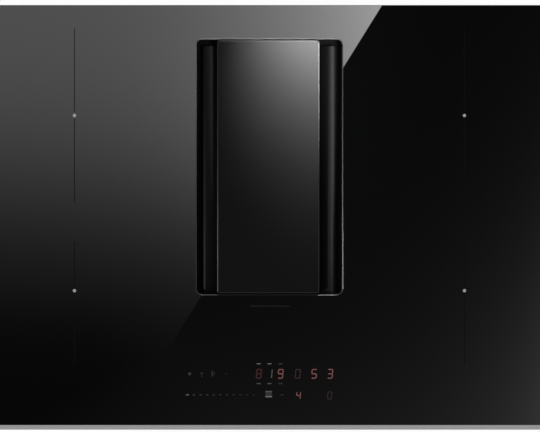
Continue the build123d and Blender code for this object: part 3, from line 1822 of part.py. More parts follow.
parts = {
    "ceramic_glass": ceramic_glass(),
    "glass_adhesive": glass_adhesive(),
    "worktop_seal": worktop_seal(),
    "vent_cover": vent_cover(),
    "vent_cover_feet": vent_cover_feet(),
    "vent_bowl": vent_bowl(),
    "bowl_seal": bowl_seal(),
    "filter_frame": filter_frame(),
    "filter_mesh": filter_mesh(),
    "filter_grip": filter_grip(),
    "drip_tray": drip_tray(),
    "hob_tray": hob_tray(),
    "fixing_brackets": fixing_brackets(),
    "pan_head_screws": pan_head_screws(),
    "ferrite_bars": ferrite_bars(),
    "insulation_sheets": insulation_sheets(),
    "temperature_sensors": temperature_sensors(),
    "sensor_springs": sensor_springs(),
    "filter_board": filter_board(),
    "mains_chokes": mains_chokes(),
    "control_board": control_board(),
    "display_modules": display_modules(),
    "touch_springs": touch_springs(),
    "control_bracket": control_bracket(),
    "terminal_block": terminal_block(),
    "terminal_cover": terminal_cover(),
    "cable_gland": cable_gland(),
    "lower_casing": lower_casing(),
    "casing_seal": casing_seal(),
    "scroll_housing": scroll_housing(),
    "scroll_cover": scroll_cover(),
    "motor_mounts": motor_mounts(),
    "inlet_ring": inlet_ring(),
    "impeller": impeller(),
    "motor_rotor": motor_rotor(),
    "motor_shaft": motor_shaft(),
    "motor_bearings": motor_bearings(),
    "motor_flange": motor_flange(),
    "motor_stator": motor_stator(),
    "outlet_spigot": outlet_spigot(),
    "duct_flap": duct_flap(),
    "flap_pin": flap_pin(),
}
for zone, (zone_place_x, zone_place_y) in zones.items():
    parts[f"coil_winding_{zone}"] = coil_winding(zone_place_x, zone_place_y)
    parts[f"coil_carrier_{zone}"] = coil_carrier(zone_place_x, zone_place_y)
for side_name, side_sign in sides.items():
    parts[f"power_board_{side_name}"] = power_board(side_sign)
    parts[f"heat_sink_{side_name}"] = heat_sink(side_sign)
    parts[f"power_components_{side_name}"] = power_components(side_sign)
    parts[f"cooling_fan_frame_{side_name}"] = cooling_fan_frame(side_sign)
    parts[f"cooling_fan_rotor_{side_name}"] = cooling_fan_rotor(side_sign)

os.makedirs("parts", exist_ok=True)
for node, shape in parts.items():
    export_step(shape, f"parts/{node}.step")
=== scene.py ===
"""Finishes, printed marks, lit digits and studio for a downdraft induction cooktop."""

import math

import bmesh
import bpy
from bpy.props import FloatProperty, FloatVectorProperty, PointerProperty
from bpy.types import Operator, Panel, PropertyGroup
from mathutils import Matrix, Vector


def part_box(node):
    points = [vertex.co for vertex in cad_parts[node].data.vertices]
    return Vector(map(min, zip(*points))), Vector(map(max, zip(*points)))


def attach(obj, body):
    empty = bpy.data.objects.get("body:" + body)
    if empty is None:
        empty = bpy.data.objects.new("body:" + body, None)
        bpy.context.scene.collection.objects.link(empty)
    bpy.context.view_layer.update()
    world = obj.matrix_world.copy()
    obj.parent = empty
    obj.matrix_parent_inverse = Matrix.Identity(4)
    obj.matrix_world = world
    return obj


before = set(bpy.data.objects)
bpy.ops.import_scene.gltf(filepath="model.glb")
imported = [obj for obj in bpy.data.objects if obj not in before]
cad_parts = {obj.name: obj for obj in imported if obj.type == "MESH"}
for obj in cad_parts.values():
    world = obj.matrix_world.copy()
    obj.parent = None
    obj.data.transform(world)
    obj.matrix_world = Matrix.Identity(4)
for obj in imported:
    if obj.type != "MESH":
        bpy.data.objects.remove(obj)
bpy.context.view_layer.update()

bl_info = {
    "name": "Downdraft Cooktop Dressing",
    "version": (1, 0, 0),
    "blender": (4, 5, 0),
    "location": "3D View > Sidebar > Cooktop",
    "description": "Finishes, printed marks, lit digits and studio for a downdraft induction cooktop",
    "category": "Object",
}

glass_low, glass_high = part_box("ceramic_glass")

MM = 0.001
GLASS_TOP = glass_high.z
GLASS_FRONT = glass_low.y
TOP_SKIN = 0.02 * MM  # how far below its top the ground edges of the glass begin
BEVEL_REACH = 6.05 * MM  # from the front of the glass to just past its bevel
GUTTER_DEPTH = 15.4 * MM  # from the top of the glass to just over the floor of the bowl's gutter
ROLL_REACH = 85 * MM  # from the middle of the air bowl to just past its rolled edges
ROLL_REAR = 211.3 * MM  # just behind the rolled edges
PHOTO_MIDDLE = Vector((0.7 * MM, 1.8 * MM, 0))  # what the camera looks at


def zone_places():
    """The middle of each coil, as the glass marks them."""
    places = []
    for zone in ("rear_left", "rear_right", "front_left", "front_right"):
        low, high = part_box(f"coil_winding_{zone}")
        places.append(((low.x + high.x) / 2, (low.y + high.y) / 2))
    return places


ZONES = zone_places()


# ---- Sizes and colours that a user would change


class CooktopFinish(PropertyGroup):
    glass_colour: FloatVectorProperty(
        name="Glass", description="Body colour of the ceramic glass", subtype="COLOR", size=3,
        default=(0.0006, 0.00065, 0.0007), min=0, max=1,
    )
    bevel_colour: FloatVectorProperty(
        name="Front bevel", description="Colour of the ground front edge", subtype="COLOR", size=3,
        default=(0.57, 0.57, 0.57), min=0, max=1,
    )
    edge_colour: FloatVectorProperty(
        name="Cut edge", description="Colour of the other ground edges", subtype="COLOR", size=3,
        default=(0.02, 0.021, 0.022), min=0, max=1,
    )
    cover_colour: FloatVectorProperty(
        name="Cover plate", description="Colour of the satin cover plate", subtype="COLOR", size=3,
        default=(0.0115, 0.0115, 0.0115), min=0, max=1,
    )
    cover_roughness: FloatProperty(
        name="Cover roughness", description="Roughness of the satin cover plate", subtype="FACTOR",
        default=0.365, min=0, max=1,
    )
    bowl_colour: FloatVectorProperty(
        name="Air bowl", description="Colour of the moulded air bowl", subtype="COLOR", size=3,
        default=(0.0045, 0.0045, 0.0045), min=0, max=1,
    )
    bowl_roughness: FloatProperty(
        name="Bowl roughness", description="Roughness of the moulded air bowl", subtype="FACTOR",
        default=0.306, min=0, max=1,
    )


class CooktopPrint(PropertyGroup):
    thickness: FloatProperty(
        name="Print thickness", description="Height of the printed marks over the glass", unit="LENGTH",
        default=0.04 * MM, min=0.01 * MM, max=0.2 * MM,
    )
    line_width: FloatProperty(
        name="Line width", description="Width of the zone lines", unit="LENGTH",
        default=1.2 * MM, min=0.3 * MM, max=5 * MM,
    )
    dot_diameter: FloatProperty(
        name="Dot diameter", description="Diameter of the dot in the middle of each zone", unit="LENGTH",
        default=4.0 * MM, min=1 * MM, max=20 * MM,
    )
    dot_gap: FloatProperty(
        name="Gap at the dot", description="Distance from a dot's middle to the line", unit="LENGTH",
        default=4.0 * MM, min=1 * MM, max=20 * MM,
    )
    line_colour: FloatVectorProperty(
        name="Lines", description="Colour of the printed lines", subtype="COLOR", size=3,
        default=(0.0042, 0.0042, 0.0042), min=0, max=1,
    )
    dot_colour: FloatVectorProperty(
        name="Dots", description="Colour of the printed dots", subtype="COLOR", size=3,
        default=(0.29, 0.29, 0.29), min=0, max=1,
    )


class CooktopDisplay(PropertyGroup):
    digit_height: FloatProperty(
        name="Digit height", description="Height of a digit in the upper row", unit="LENGTH",
        default=11.6 * MM, min=4 * MM, max=30 * MM,
    )
    digit_width: FloatProperty(
        name="Digit width", description="Width of a digit in the upper row", unit="LENGTH",
        default=6.6 * MM, min=2 * MM, max=20 * MM,
    )
    stroke: FloatProperty(
        name="Stroke", description="Width of a digit's strokes", unit="LENGTH",
        default=1.0 * MM, min=0.3 * MM, max=4 * MM,
    )
    slant: FloatProperty(
        name="Slant", description="How far the digits lean to the right", subtype="ANGLE",
        default=math.radians(5), min=0, max=math.radians(20),
    )
    lit_colour: FloatVectorProperty(
        name="Lit", description="Light of the bright digits", subtype="COLOR", size=3,
        default=(0.2, 0.08, 0.084), min=0, max=1,
    )
    dim_colour: FloatVectorProperty(
        name="Dim", description="Light of the dim digits", subtype="COLOR", size=3,
        default=(0.034, 0.01, 0.011), min=0, max=1,
    )


class CooktopStudio(PropertyGroup):
    lens: FloatProperty(
        name="Lens", description="Focal length in millimetres", default=100.25, min=20, max=300,
    )
    camera_rise: FloatProperty(
        name="Camera height", description="Height of the camera over the glass", unit="LENGTH",
        default=1.84, min=0.5, max=6,
    )
    card_rise: FloatProperty(
        name="Card height", description="Height of the reflection card over the glass", unit="LENGTH",
        default=2.2, min=0.5, max=6,
    )
    floor_colour: FloatVectorProperty(
        name="Floor", description="Colour of the floor", subtype="COLOR", size=3,
        default=(0.9, 0.9, 0.9), min=0, max=1,
    )


# ---- Node helpers and the effects that several finishes share


def put(tree, kind, inputs=None, **settings):
    """Adds a node, with its settings and the values or links of its inputs."""
    node = tree.nodes.new(kind)
    for name, value in settings.items():
        setattr(node, name, value)
    for name, value in (inputs or {}).items():
        if isinstance(value, bpy.types.NodeSocket):
            tree.links.new(value, node.inputs[name])
        else:
            node.inputs[name].default_value = value
    return node


def maths(tree, operation, first, second=0.0, third=0.0, clamp=False):
    """The result of a Math node, whose third input only MULTIPLY_ADD uses."""
    inputs = {0: first, 1: second, 2: third}
    return put(tree, "ShaderNodeMath", inputs, operation=operation, use_clamp=clamp).outputs[0]


def ramp(tree, value, low, high, to_low=0.0, to_high=1.0):
    """The result of a Map Range node."""
    inputs = {"Value": value, "From Min": low, "From Max": high, "To Min": to_low, "To Max": to_high}
    return put(tree, "ShaderNodeMapRange", inputs).outputs[0]


def mix(tree, share, first, second):
    """The result of mixing two numbers."""
    return put(tree, "ShaderNodeMix", {0: share, 2: first, 3: second}).outputs[0]


def scale(tree, vector, factor):
    """A vector or colour times a number."""
    return put(tree, "ShaderNodeVectorMath", {0: vector, "Scale": factor}, operation="SCALE").outputs[0]


def blend(tree, share, first, second):
    """The result of mixing two colours."""
    return put(tree, "ShaderNodeMix", {0: share, 6: first, 7: second}, data_type="RGBA").outputs[2]


def rgba(colour):
    return (colour[0], colour[1], colour[2], 1.0)


def effect(name, inputs, outputs):
    """A shader node group with named sockets, and its input and output nodes."""
    group = bpy.data.node_groups.new(name, "ShaderNodeTree")
    for label, kind, default in inputs:
        socket = group.interface.new_socket(label, in_out="INPUT", socket_type=kind)
        if default is not None:
            socket.default_value = default
    for label, kind in outputs:
        group.interface.new_socket(label, in_out="OUTPUT", socket_type=kind)
    return group, group.nodes.new("NodeGroupInput"), group.nodes.new("NodeGroupOutput")


FLOAT, COLOUR, VECTOR = "NodeSocketFloat", "NodeSocketColor", "NodeSocketVector"


def moulded_grain():
    """Fine pits of a moulded or painted face, with slow changes of gloss and tone."""
    if "Moulded Grain" in bpy.data.node_groups:
        return bpy.data.node_groups["Moulded Grain"]
    group, given, result = effect(
        "Moulded Grain",
        [
            ("Vector", VECTOR, None), ("Color", COLOUR, (0.5, 0.5, 0.5, 1)), ("Roughness", FLOAT, 0.5),
            ("Pit Scale", FLOAT, 900.0), ("Gloss Spread", FLOAT, 0.1), ("Tone Spread", FLOAT, 0.1),
        ],
        [("Color", COLOUR), ("Roughness", FLOAT), ("Height", FLOAT)],
    )
    pits = put(group, "ShaderNodeTexNoise",
               {"Vector": given.outputs["Vector"], "Scale": given.outputs["Pit Scale"], "Detail": 2.0})
    slow = put(group, "ShaderNodeTexNoise", {"Vector": given.outputs["Vector"], "Scale": 14.0, "Detail": 3.0})
    swing = maths(group, "SUBTRACT", slow.outputs[0], 0.5)
    gloss = maths(group, "MULTIPLY", swing, given.outputs["Gloss Spread"])
    tone = maths(group, "MULTIPLY_ADD", swing, given.outputs["Tone Spread"], 1.0)
    rough = maths(group, "ADD", given.outputs["Roughness"], gloss, clamp=True)
    group.links.new(scale(group, given.outputs["Color"], tone), result.inputs["Color"])
    group.links.new(rough, result.inputs["Roughness"])
    group.links.new(pits.outputs[0], result.inputs["Height"])
    return group


def brushed_lines():
    """Fine scratches along one direction, set by how much each axis is stretched."""
    if "Brushed Lines" in bpy.data.node_groups:
        return bpy.data.node_groups["Brushed Lines"]
    group, given, result = effect(
        "Brushed Lines",
        [
            ("Vector", VECTOR, None), ("Stretch", VECTOR, (20, 900, 900)),
            ("Color", COLOUR, (0.6, 0.6, 0.6, 1)), ("Roughness", FLOAT, 0.3), ("Spread", FLOAT, 0.15),
        ],
        [("Color", COLOUR), ("Roughness", FLOAT), ("Height", FLOAT)],
    )
    drawn = put(group, "ShaderNodeVectorMath",
                {0: given.outputs["Vector"], 1: given.outputs["Stretch"]}, operation="MULTIPLY")
    lines = put(group, "ShaderNodeTexNoise", {"Vector": drawn.outputs[0], "Scale": 1.0, "Detail": 4.0})
    swing = maths(group, "SUBTRACT", lines.outputs[0], 0.5)
    spread = maths(group, "MULTIPLY", swing, given.outputs["Spread"])
    tone = maths(group, "ADD", spread, 1.0)
    rough = maths(group, "ADD", given.outputs["Roughness"], spread, clamp=True)
    group.links.new(scale(group, given.outputs["Color"], tone), result.inputs["Color"])
    group.links.new(rough, result.inputs["Roughness"])
    group.links.new(lines.outputs[0], result.inputs["Height"])
    return group


def handling_dust():
    """Light dust and dull smears, strongest on faces that look up."""
    if "Handling Dust" in bpy.data.node_groups:
        return bpy.data.node_groups["Handling Dust"]
    group, given, result = effect(
        "Handling Dust",
        [
            ("Vector", VECTOR, None), ("Color", COLOUR, (0.5, 0.5, 0.5, 1)), ("Roughness", FLOAT, 0.5),
            ("Amount", FLOAT, 0.2), ("Dust Color", COLOUR, (0.35, 0.34, 0.32, 1)),
        ],
        [("Color", COLOUR), ("Roughness", FLOAT)],
    )
    cloud = put(group, "ShaderNodeTexNoise",
                {"Vector": given.outputs["Vector"], "Scale": 22.0, "Detail": 6.0, "Roughness": 0.65})
    normal = put(group, "ShaderNodeNewGeometry")
    up = put(group, "ShaderNodeSeparateXYZ", {0: normal.outputs["Normal"]})
    least_share = 0.25  # on faces that look sideways or down
    lifted = maths(group, "MAXIMUM", up.outputs["Z"], least_share)
    patch = ramp(group, cloud.outputs[0], 0.45, 0.75)
    amount = maths(group, "MULTIPLY", patch, given.outputs["Amount"])
    share = maths(group, "MULTIPLY", amount, lifted, clamp=True)
    colour = blend(group, share, given.outputs["Color"], given.outputs["Dust Color"])
    rough = maths(group, "ADD", given.outputs["Roughness"], share, clamp=True)
    group.links.new(colour, result.inputs["Color"])
    group.links.new(rough, result.inputs["Roughness"])
    return group


def use(tree, group, inputs):
    """Places a shared effect in a material."""
    return put(tree, "ShaderNodeGroup", inputs, node_tree=group)


def blank(name):
    """A new material with its tree, its shader and its object coordinates."""
    material = bpy.data.materials.new(name)
    material.use_nodes = True
    tree = material.node_tree
    shader = tree.nodes["Principled BSDF"]
    place = tree.nodes.new("ShaderNodeTexCoord").outputs["Object"]
    return material, tree, shader, place


def feed(tree, shader, colour, roughness, height=None, strength=0.2, depth=0.05 * MM):
    """Links colour, roughness and a bump to a shader."""
    tree.links.new(colour, shader.inputs["Base Color"])
    tree.links.new(roughness, shader.inputs["Roughness"])
    if height is not None:
        bump = put(tree, "ShaderNodeBump", {"Height": height, "Strength": strength, "Distance": depth})
        tree.links.new(bump.outputs[0], shader.inputs["Normal"])


def dusted(tree, place, colour, roughness, amount):
    """Colour and roughness under light dust, or as they are without any."""
    if amount == 0:
        return colour, roughness
    dusty = use(tree, handling_dust(), {
        "Vector": place, "Color": colour, "Roughness": roughness, "Amount": amount,
    })
    return dusty.outputs["Color"], dusty.outputs["Roughness"]


def moulded(name, colour, roughness, pit_scale=900.0, pits=0.15, gloss=0.08, tone=0.12, dust=0.0):
    """A moulded plastic, rubber, foam or painted finish."""
    material, tree, shader, place = blank(name)
    grain = use(tree, moulded_grain(), {
        "Vector": place, "Color": rgba(colour), "Roughness": roughness, "Pit Scale": pit_scale,
        "Gloss Spread": gloss, "Tone Spread": tone,
    })
    out_colour, out_rough = dusted(tree, place, grain.outputs["Color"], grain.outputs["Roughness"], dust)
    feed(tree, shader, out_colour, out_rough, grain.outputs["Height"], pits)
    return material


def drawn_metal(name, colour, roughness, stretch, spread=0.15, bump=0.12, dust=0.0):
    """A rolled, brushed or extruded bare metal."""
    material, tree, shader, place = blank(name)
    lines = use(tree, brushed_lines(), {
        "Vector": place, "Stretch": stretch, "Color": rgba(colour), "Roughness": roughness, "Spread": spread,
    })
    out_colour, out_rough = dusted(tree, place, lines.outputs["Color"], lines.outputs["Roughness"], dust)
    shader.inputs["Metallic"].default_value = 1.0
    feed(tree, shader, out_colour, out_rough, lines.outputs["Height"], bump, 0.02 * MM)
    return material


def dress(names, material):
    """Gives a finish to nodes of the model, by name."""
    for name in names:
        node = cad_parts[name]
        if not node.material_slots:
            node.data.materials.append(material)
        for slot in node.material_slots:
            slot.material = material


# ---- Shapes of the printed marks and digits


def slab(bm, x, y, width, depth, low, high, point=0.0):
    """A thin rectangle on the glass, whose ends may run to a point."""
    size = Matrix.Diagonal((width, depth, high - low, 1))
    middle = Matrix.Translation((x, y, (low + high) / 2))
    made = bmesh.ops.create_cube(bm, size=1, matrix=middle @ size)
    if point > 0:
        upright = [
            edge for edge in {edge for vert in made["verts"] for edge in vert.link_edges}
            if abs(edge.verts[0].co.z - edge.verts[1].co.z) > (high - low) / 2
        ]
        bmesh.ops.bevel(bm, geom=upright, offset=point, segments=1, profile=0.5, affect="EDGES",
                        material=-1)


def spot(bm, x, y, diameter, low, high):
    """A thin disc on the glass."""
    bmesh.ops.create_cone(bm, cap_ends=True, segments=40, radius1=diameter / 2, radius2=diameter / 2,
                          depth=high - low, matrix=Matrix.Translation((x, y, (low + high) / 2)))


def piece(name, bm, material, body="root"):
    """Makes an object of a finished bmesh, with one finish, that rides on a body."""
    bmesh.ops.recalc_face_normals(bm, faces=bm.faces)
    mesh = bpy.data.meshes.new(name)
    bm.to_mesh(mesh)
    bm.free()
    mesh.materials.append(material)
    made = bpy.data.objects.new(name, mesh)
    bpy.context.scene.collection.objects.link(made)
    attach(made, body)


SEGMENTS = {
    0: "abcdef", 1: "bc", 2: "abged", 3: "abgcd", 4: "fgbc", 5: "afgcd", 6: "afgedc", 7: "abc",
    8: "abcdefg", 9: "abfgcd",
}


def digit(bm, value, x, y, width, height, stroke, slant, low, high):
    """A slanted seven-segment digit, centred on x and y."""
    half = (height - stroke) / 2
    side = (width - stroke) / 2
    gap = stroke * 0.12  # between the ends of two bars
    point = stroke * 0.42  # of a bar's ends
    flat = width - stroke - 2 * gap
    tall = half - 2 * gap
    bars = {
        "a": (0, half, flat, stroke), "g": (0, 0, flat, stroke), "d": (0, -half, flat, stroke),
        "f": (-side, half / 2, stroke, tall), "b": (side, half / 2, stroke, tall),
        "e": (-side, -half / 2, stroke, tall), "c": (side, -half / 2, stroke, tall),
    }
    before = set(bm.verts)
    for name in SEGMENTS[value]:
        bar_x, bar_y, bar_width, bar_depth = bars[name]
        slab(bm, bar_x, bar_y, bar_width, bar_depth, low, high, point)
    for vert in set(bm.verts) - before:
        vert.co.x += x + vert.co.y * math.tan(slant)
        vert.co.y += y


# ---- Finishes of the glass, the cover plate and the air bowl


def glass_finish(settings):
    """Black glass, with ground edges and a paler ground bevel along the front."""
    material, tree, shader, place = blank("black_ceramic_glass")
    axes = put(tree, "ShaderNodeSeparateXYZ", {0: place})
    smear = put(tree, "ShaderNodeTexNoise", {"Vector": place, "Scale": 9.0, "Detail": 4.0})
    polished_rough = ramp(tree, smear.outputs[0], 0.3, 0.8, 0.004, 0.012)
    below_top = maths(tree, "LESS_THAN", axes.outputs["Z"], GLASS_TOP - TOP_SKIN)
    in_front = maths(tree, "LESS_THAN", axes.outputs["Y"], GLASS_FRONT + BEVEL_REACH)
    ground = put(tree, "ShaderNodeTexNoise", {"Vector": place, "Scale": 2600.0, "Detail": 2.0})
    edge = blend(tree, in_front, rgba(settings.edge_colour), rgba(settings.bevel_colour))
    colour = blend(tree, below_top, rgba(settings.glass_colour), edge)
    ground_rough = maths(tree, "MULTIPLY_ADD", ground.outputs[0], 0.1, 0.3)
    shader.inputs["IOR"].default_value = 1.5
    feed(tree, shader, colour, mix(tree, below_top, polished_rough, ground_rough))
    return material


def print_finish(name, colour, roughness=0.55, specular=0.2):
    """A ceramic print, a little uneven in its tone."""
    material = moulded(name, colour, roughness, pit_scale=3000.0, pits=0.05, tone=0.25)
    material.node_tree.nodes["Principled BSDF"].inputs["Specular IOR Level"].default_value = specular
    return material


def lit_finish(name, colour, specular=0.5):
    """Light of a display behind the glass, a little uneven along its strokes."""
    material, tree, shader, place = blank(name)
    glow = put(tree, "ShaderNodeTexNoise", {"Vector": place, "Scale": 400.0, "Detail": 1.0})
    tone = ramp(tree, glow.outputs[0], 0.3, 0.7, 0.8, 1.15)
    tree.links.new(scale(tree, tuple(colour), tone), shader.inputs["Emission Color"])
    shader.inputs["Emission Strength"].default_value = 1.0
    shader.inputs["Base Color"].default_value = (0.004, 0.003, 0.003, 1)
    shader.inputs["Roughness"].default_value = 0.3
    shader.inputs["Specular IOR Level"].default_value = specular
    return material


def bowl_finish(settings):
    """Satin black moulding, dull in the gutter round its rolled edges, on its outer walls and below."""
    material = moulded("black_moulding", settings.bowl_colour, settings.bowl_roughness, 700.0, pits=0.03,
                       gloss=0.03, tone=0.08)
    dull_roughness, satin_specular, dull_specular = 0.9, 0.5, 0.08
    tree = material.node_tree
    shader = tree.nodes["Principled BSDF"]
    satin = shader.inputs["Roughness"].links[0].from_socket
    place = tree.nodes["Texture Coordinate"].outputs["Object"]
    axes = put(tree, "ShaderNodeSeparateXYZ", {0: place})
    in_gutter = maths(tree, "LESS_THAN", axes.outputs["Z"], GLASS_TOP - GUTTER_DEPTH)
    at_side = maths(tree, "GREATER_THAN", maths(tree, "ABSOLUTE", axes.outputs["X"]), ROLL_REACH)
    at_rear = maths(tree, "GREATER_THAN", axes.outputs["Y"], ROLL_REAR)
    dull = maths(tree, "MAXIMUM", in_gutter, maths(tree, "MAXIMUM", at_side, at_rear))
    tree.links.new(mix(tree, dull, satin, dull_roughness), shader.inputs["Roughness"])
    specular = mix(tree, dull, satin_specular, dull_specular)
    tree.links.new(specular, shader.inputs["Specular IOR Level"])
    return material


class COOKTOP_OT_glass(Operator):
    """Finish the ceramic glass and its seals"""

    bl_idname = "cooktop.glass"
    bl_label = "Glass"

    def execute(self, context):
        dress(["ceramic_glass"], glass_finish(context.scene.cooktop_finish))
        dress(["glass_adhesive", "bowl_seal"], moulded("black_silicone", (0.012, 0.012, 0.012), 0.45, 300.0))
        dress(["worktop_seal", "casing_seal"],
              moulded("grey_foam", (0.12, 0.12, 0.125), 0.9, 1400.0, pits=0.8, tone=0.3))
        return {"FINISHED"}


class COOKTOP_OT_zone_marks(Operator):
    """Print the zone lines and dots on the glass"""

    bl_idname = "cooktop.zone_marks"
    bl_label = "Zone marks"

    def execute(self, context):
        sizes = context.scene.cooktop_print
        low, high = GLASS_TOP, GLASS_TOP + sizes.thickness
        rear_start, rear_end = 19 * MM, 231.5 * MM
        front_start, front_end = -180 * MM, -30 * MM
        lines, dots = bmesh.new(), bmesh.new()
        for x, y in ZONES:
            start, end = (rear_start, rear_end) if y > 0 else (front_start, front_end)
            for y0, y1 in ((start, y - sizes.dot_gap), (y + sizes.dot_gap, end)):
                slab(lines, x, (y0 + y1) / 2, sizes.line_width, y1 - y0, low, high)
            spot(dots, x, y, sizes.dot_diameter, low, high)
        line_print = print_finish("zone_line_print", sizes.line_colour, roughness=0.03, specular=0.1)
        piece("zone_lines", lines, line_print)
        piece("zone_dots", dots, print_finish("zone_dot_print", sizes.dot_colour))
        return {"FINISHED"}


class COOKTOP_OT_panel_marks(Operator):
    """Print the marks of the touch panel on the glass"""

    bl_idname = "cooktop.panel_marks"
    bl_label = "Panel marks"

    def execute(self, context):
        low = GLASS_TOP
        high = low + context.scene.cooktop_print.thickness
        faint, pale, plain, hair = (bmesh.new() for _ in range(4))
        icon_y, slider_y, key_x = -191.3, -217.0, -0.9
        key_y = slider_y + 0.4
        marks = [  # mesh, x, y, width, depth and point of the ends, in millimetres
            # Upper row: a small tee, a leaning bar with its fainter twin, and a dash.
            (faint, -83.0, icon_y + 0.6, 3.4, 1.2, 0.3), (faint, -82.7, icon_y - 2.6, 0.6, 3.6, 0),
            (faint, -69.9, icon_y, 1.4, 6.6, 0.4), (faint, -67.4, icon_y, 0.4, 6.0, 0),
            (faint, -52.6, icon_y, 4.0, 0.3, 0),
            # Lower row: the start of a slider, a key of stacked bars and a dash.
            (pale, -100.3, slider_y, 3.8, 1.8, 0.6),
            (pale, key_x, key_y + 3.4, 8.2, 2.0, 0.5), (faint, key_x, key_y + 0.4, 8.2, 2.2, 0.5),
            (plain, key_x, key_y - 2.5, 8.2, 1.8, 0.5), (faint, 15.4, slider_y, 3.6, 0.8, 0),
            # A plain hairline in front of the air opening.
            (hair, 0.3, -108.5, 48.6, 1.0, 0),
        ]

        # The slider's ticks, which get thinner to the right.
        ticks, first_x, last_x = 10, -92.4, -19.5
        for step in range(ticks):
            x = first_x + (last_x - first_x) * step / (ticks - 1)
            marks.append((faint, x, slider_y, 2.6, 1.5 - 0.11 * step, 0))

        # A dash over and one under each of the three upper digits on the left.
        for x, upper, lower in ((-13.1, plain, pale), (0, plain, pale), (13.5, faint, faint)):
            marks += [(upper, x, -179.0, 5.2, 1.1, 0.35), (lower, x, -203.3, 5.2, 1.1, 0.35)]

        spot(faint, -97.6 * MM, icon_y * MM, 3.6 * MM, low, high)
        for mesh, *sizes in marks:
            x, y, width, depth, point = (size * MM for size in sizes)
            slab(mesh, x, y, width, depth, low, high, point)
        piece("panel_marks", plain, print_finish("pale_print", (0.13, 0.13, 0.13)))
        piece("panel_soft_marks", pale, print_finish("soft_print", (0.065, 0.065, 0.066)))
        piece("panel_faint_marks", faint, print_finish("faint_print", (0.026, 0.026, 0.027)))
        piece("panel_hairline", hair, print_finish("hairline_print", (0.004, 0.004, 0.004)))
        return {"FINISHED"}


class COOKTOP_OT_digits(Operator):
    """Show the lit digits of the display"""

    bl_idname = "cooktop.digits"
    bl_label = "Digits"

    def execute(self, context):
        style = context.scene.cooktop_display
        low = GLASS_TOP
        high = low + context.scene.cooktop_print.thickness
        upper_y, lower_y = -191.3 * MM, -217.8 * MM
        small = 0.82  # size of the lower row, against the upper
        halo_margin, halo_stroke = 2.2 * MM, 2.6  # round a digit, and against its stroke
        bright, dim, pale, halo = (bmesh.new() for _ in range(4))
        rows = [
            (dim, 8, -12.9, upper_y, 1.0), (pale, 1, 0.2, upper_y, 1.0), (bright, 9, 13.6, upper_y, 1.0),
            (dim, 0, 34.8, upper_y, 1.0), (bright, 5, 54.7, upper_y, 1.0), (bright, 3, 74.3, upper_y, 1.0),
            (bright, 4, 35.5, lower_y, small), (dim, 0, 73.8, lower_y, small),
        ]
        for bm, value, x, y, share in rows:
            digit(bm, value, x * MM, y, style.digit_width * share, style.digit_height * share,
                  style.stroke * share, style.slant, low, high)
            if bm is bright or value == 8:
                digit(halo, value, x * MM, y, (style.digit_width + halo_margin) * share,
                      (style.digit_height + halo_margin) * share, style.stroke * halo_stroke * share,
                      style.slant, low, (low + high) / 2)
        piece("digits_bright", bright, lit_finish("display_bright", style.lit_colour))
        piece("digits_dim", dim, lit_finish("display_dim", style.dim_colour))
        piece("digits_pale", pale, lit_finish("display_pale", (0.1, 0.08, 0.075)))
        halo_light = lit_finish("display_halo", (0.0175, 0.0022, 0.0028), specular=0.0)
        piece("digits_halo", halo, halo_light)
        return {"FINISHED"}


class COOKTOP_OT_cover(Operator):
    """Finish the cover plate and the air bowl"""

    bl_idname = "cooktop.cover"
    bl_label = "Cover plate and air bowl"

    def execute(self, context):
        finish = context.scene.cooktop_finish
        cover = moulded("satin_black_metal", finish.cover_colour, finish.cover_roughness, 1800.0,
                        pits=0.04, gloss=0.03, tone=0.05)
        dress(["vent_cover"], cover)
        dress(["vent_cover_feet", "motor_mounts"], moulded("black_rubber", (0.012, 0.012, 0.012), 0.7, 600.0))
        dress(["vent_bowl"], bowl_finish(finish))
        return {"FINISHED"}


# ---- Finishes of what lifts out and of what lies below


class COOKTOP_OT_lift_outs(Operator):
    """Finish the grease filter and the drip tray"""

    bl_idname = "cooktop.lift_outs"
    bl_label = "Grease filter and drip tray"

    def execute(self, context):
        dress(["filter_frame", "filter_grip"],
              drawn_metal("stainless_steel", (0.58, 0.57, 0.55), 0.28, (900, 16, 900)))
        dress(["filter_mesh"], drawn_metal("aluminium_mesh", (0.68, 0.69, 0.7), 0.38, (300, 300, 60), 0.25))
        dress(["drip_tray"], moulded("drip_tray_plastic", (0.03, 0.03, 0.032), 0.42, 800.0, dust=0.15))
        return {"FINISHED"}


def zinc_finish():
    """Zinc-plated sheet with a soft crystal pattern."""
    material, tree, shader, place = blank("zinc_plated_steel")
    crystal = put(tree, "ShaderNodeTexVoronoi", {"Vector": place, "Scale": 85.0, "Randomness": 1.0})
    tone = put(tree, "ShaderNodeSeparateColor", {0: crystal.outputs["Color"]})
    colour = scale(tree, (0.6, 0.61, 0.62), ramp(tree, tone.outputs[0], 0.0, 1.0, 0.92, 1.05))
    rough = ramp(tree, tone.outputs[1], 0.0, 1.0, 0.34, 0.46)
    out_colour, out_rough = dusted(tree, place, colour, rough, 0.12)
    lines = use(tree, brushed_lines(), {"Vector": place, "Stretch": (12, 500, 500)})
    shader.inputs["Metallic"].default_value = 0.9
    feed(tree, shader, out_colour, out_rough, lines.outputs["Height"], 0.08)
    return material


class COOKTOP_OT_hob_tray(Operator):
    """Finish the sheet steel tray, its brackets and screws"""

    bl_idname = "cooktop.hob_tray"
    bl_label = "Tray, brackets and screws"

    def execute(self, context):
        dress(["hob_tray", "fixing_brackets"], zinc_finish())
        small_steel = ["pan_head_screws", "sensor_springs", "touch_springs", "motor_shaft", "motor_bearings",
                       "flap_pin"]
        dress(small_steel, drawn_metal("bright_steel", (0.66, 0.66, 0.65), 0.24, (700, 700, 700)))
        return {"FINISHED"}


def names_of(start):
    """Every node whose name starts so."""
    return [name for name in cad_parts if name.startswith(start)]


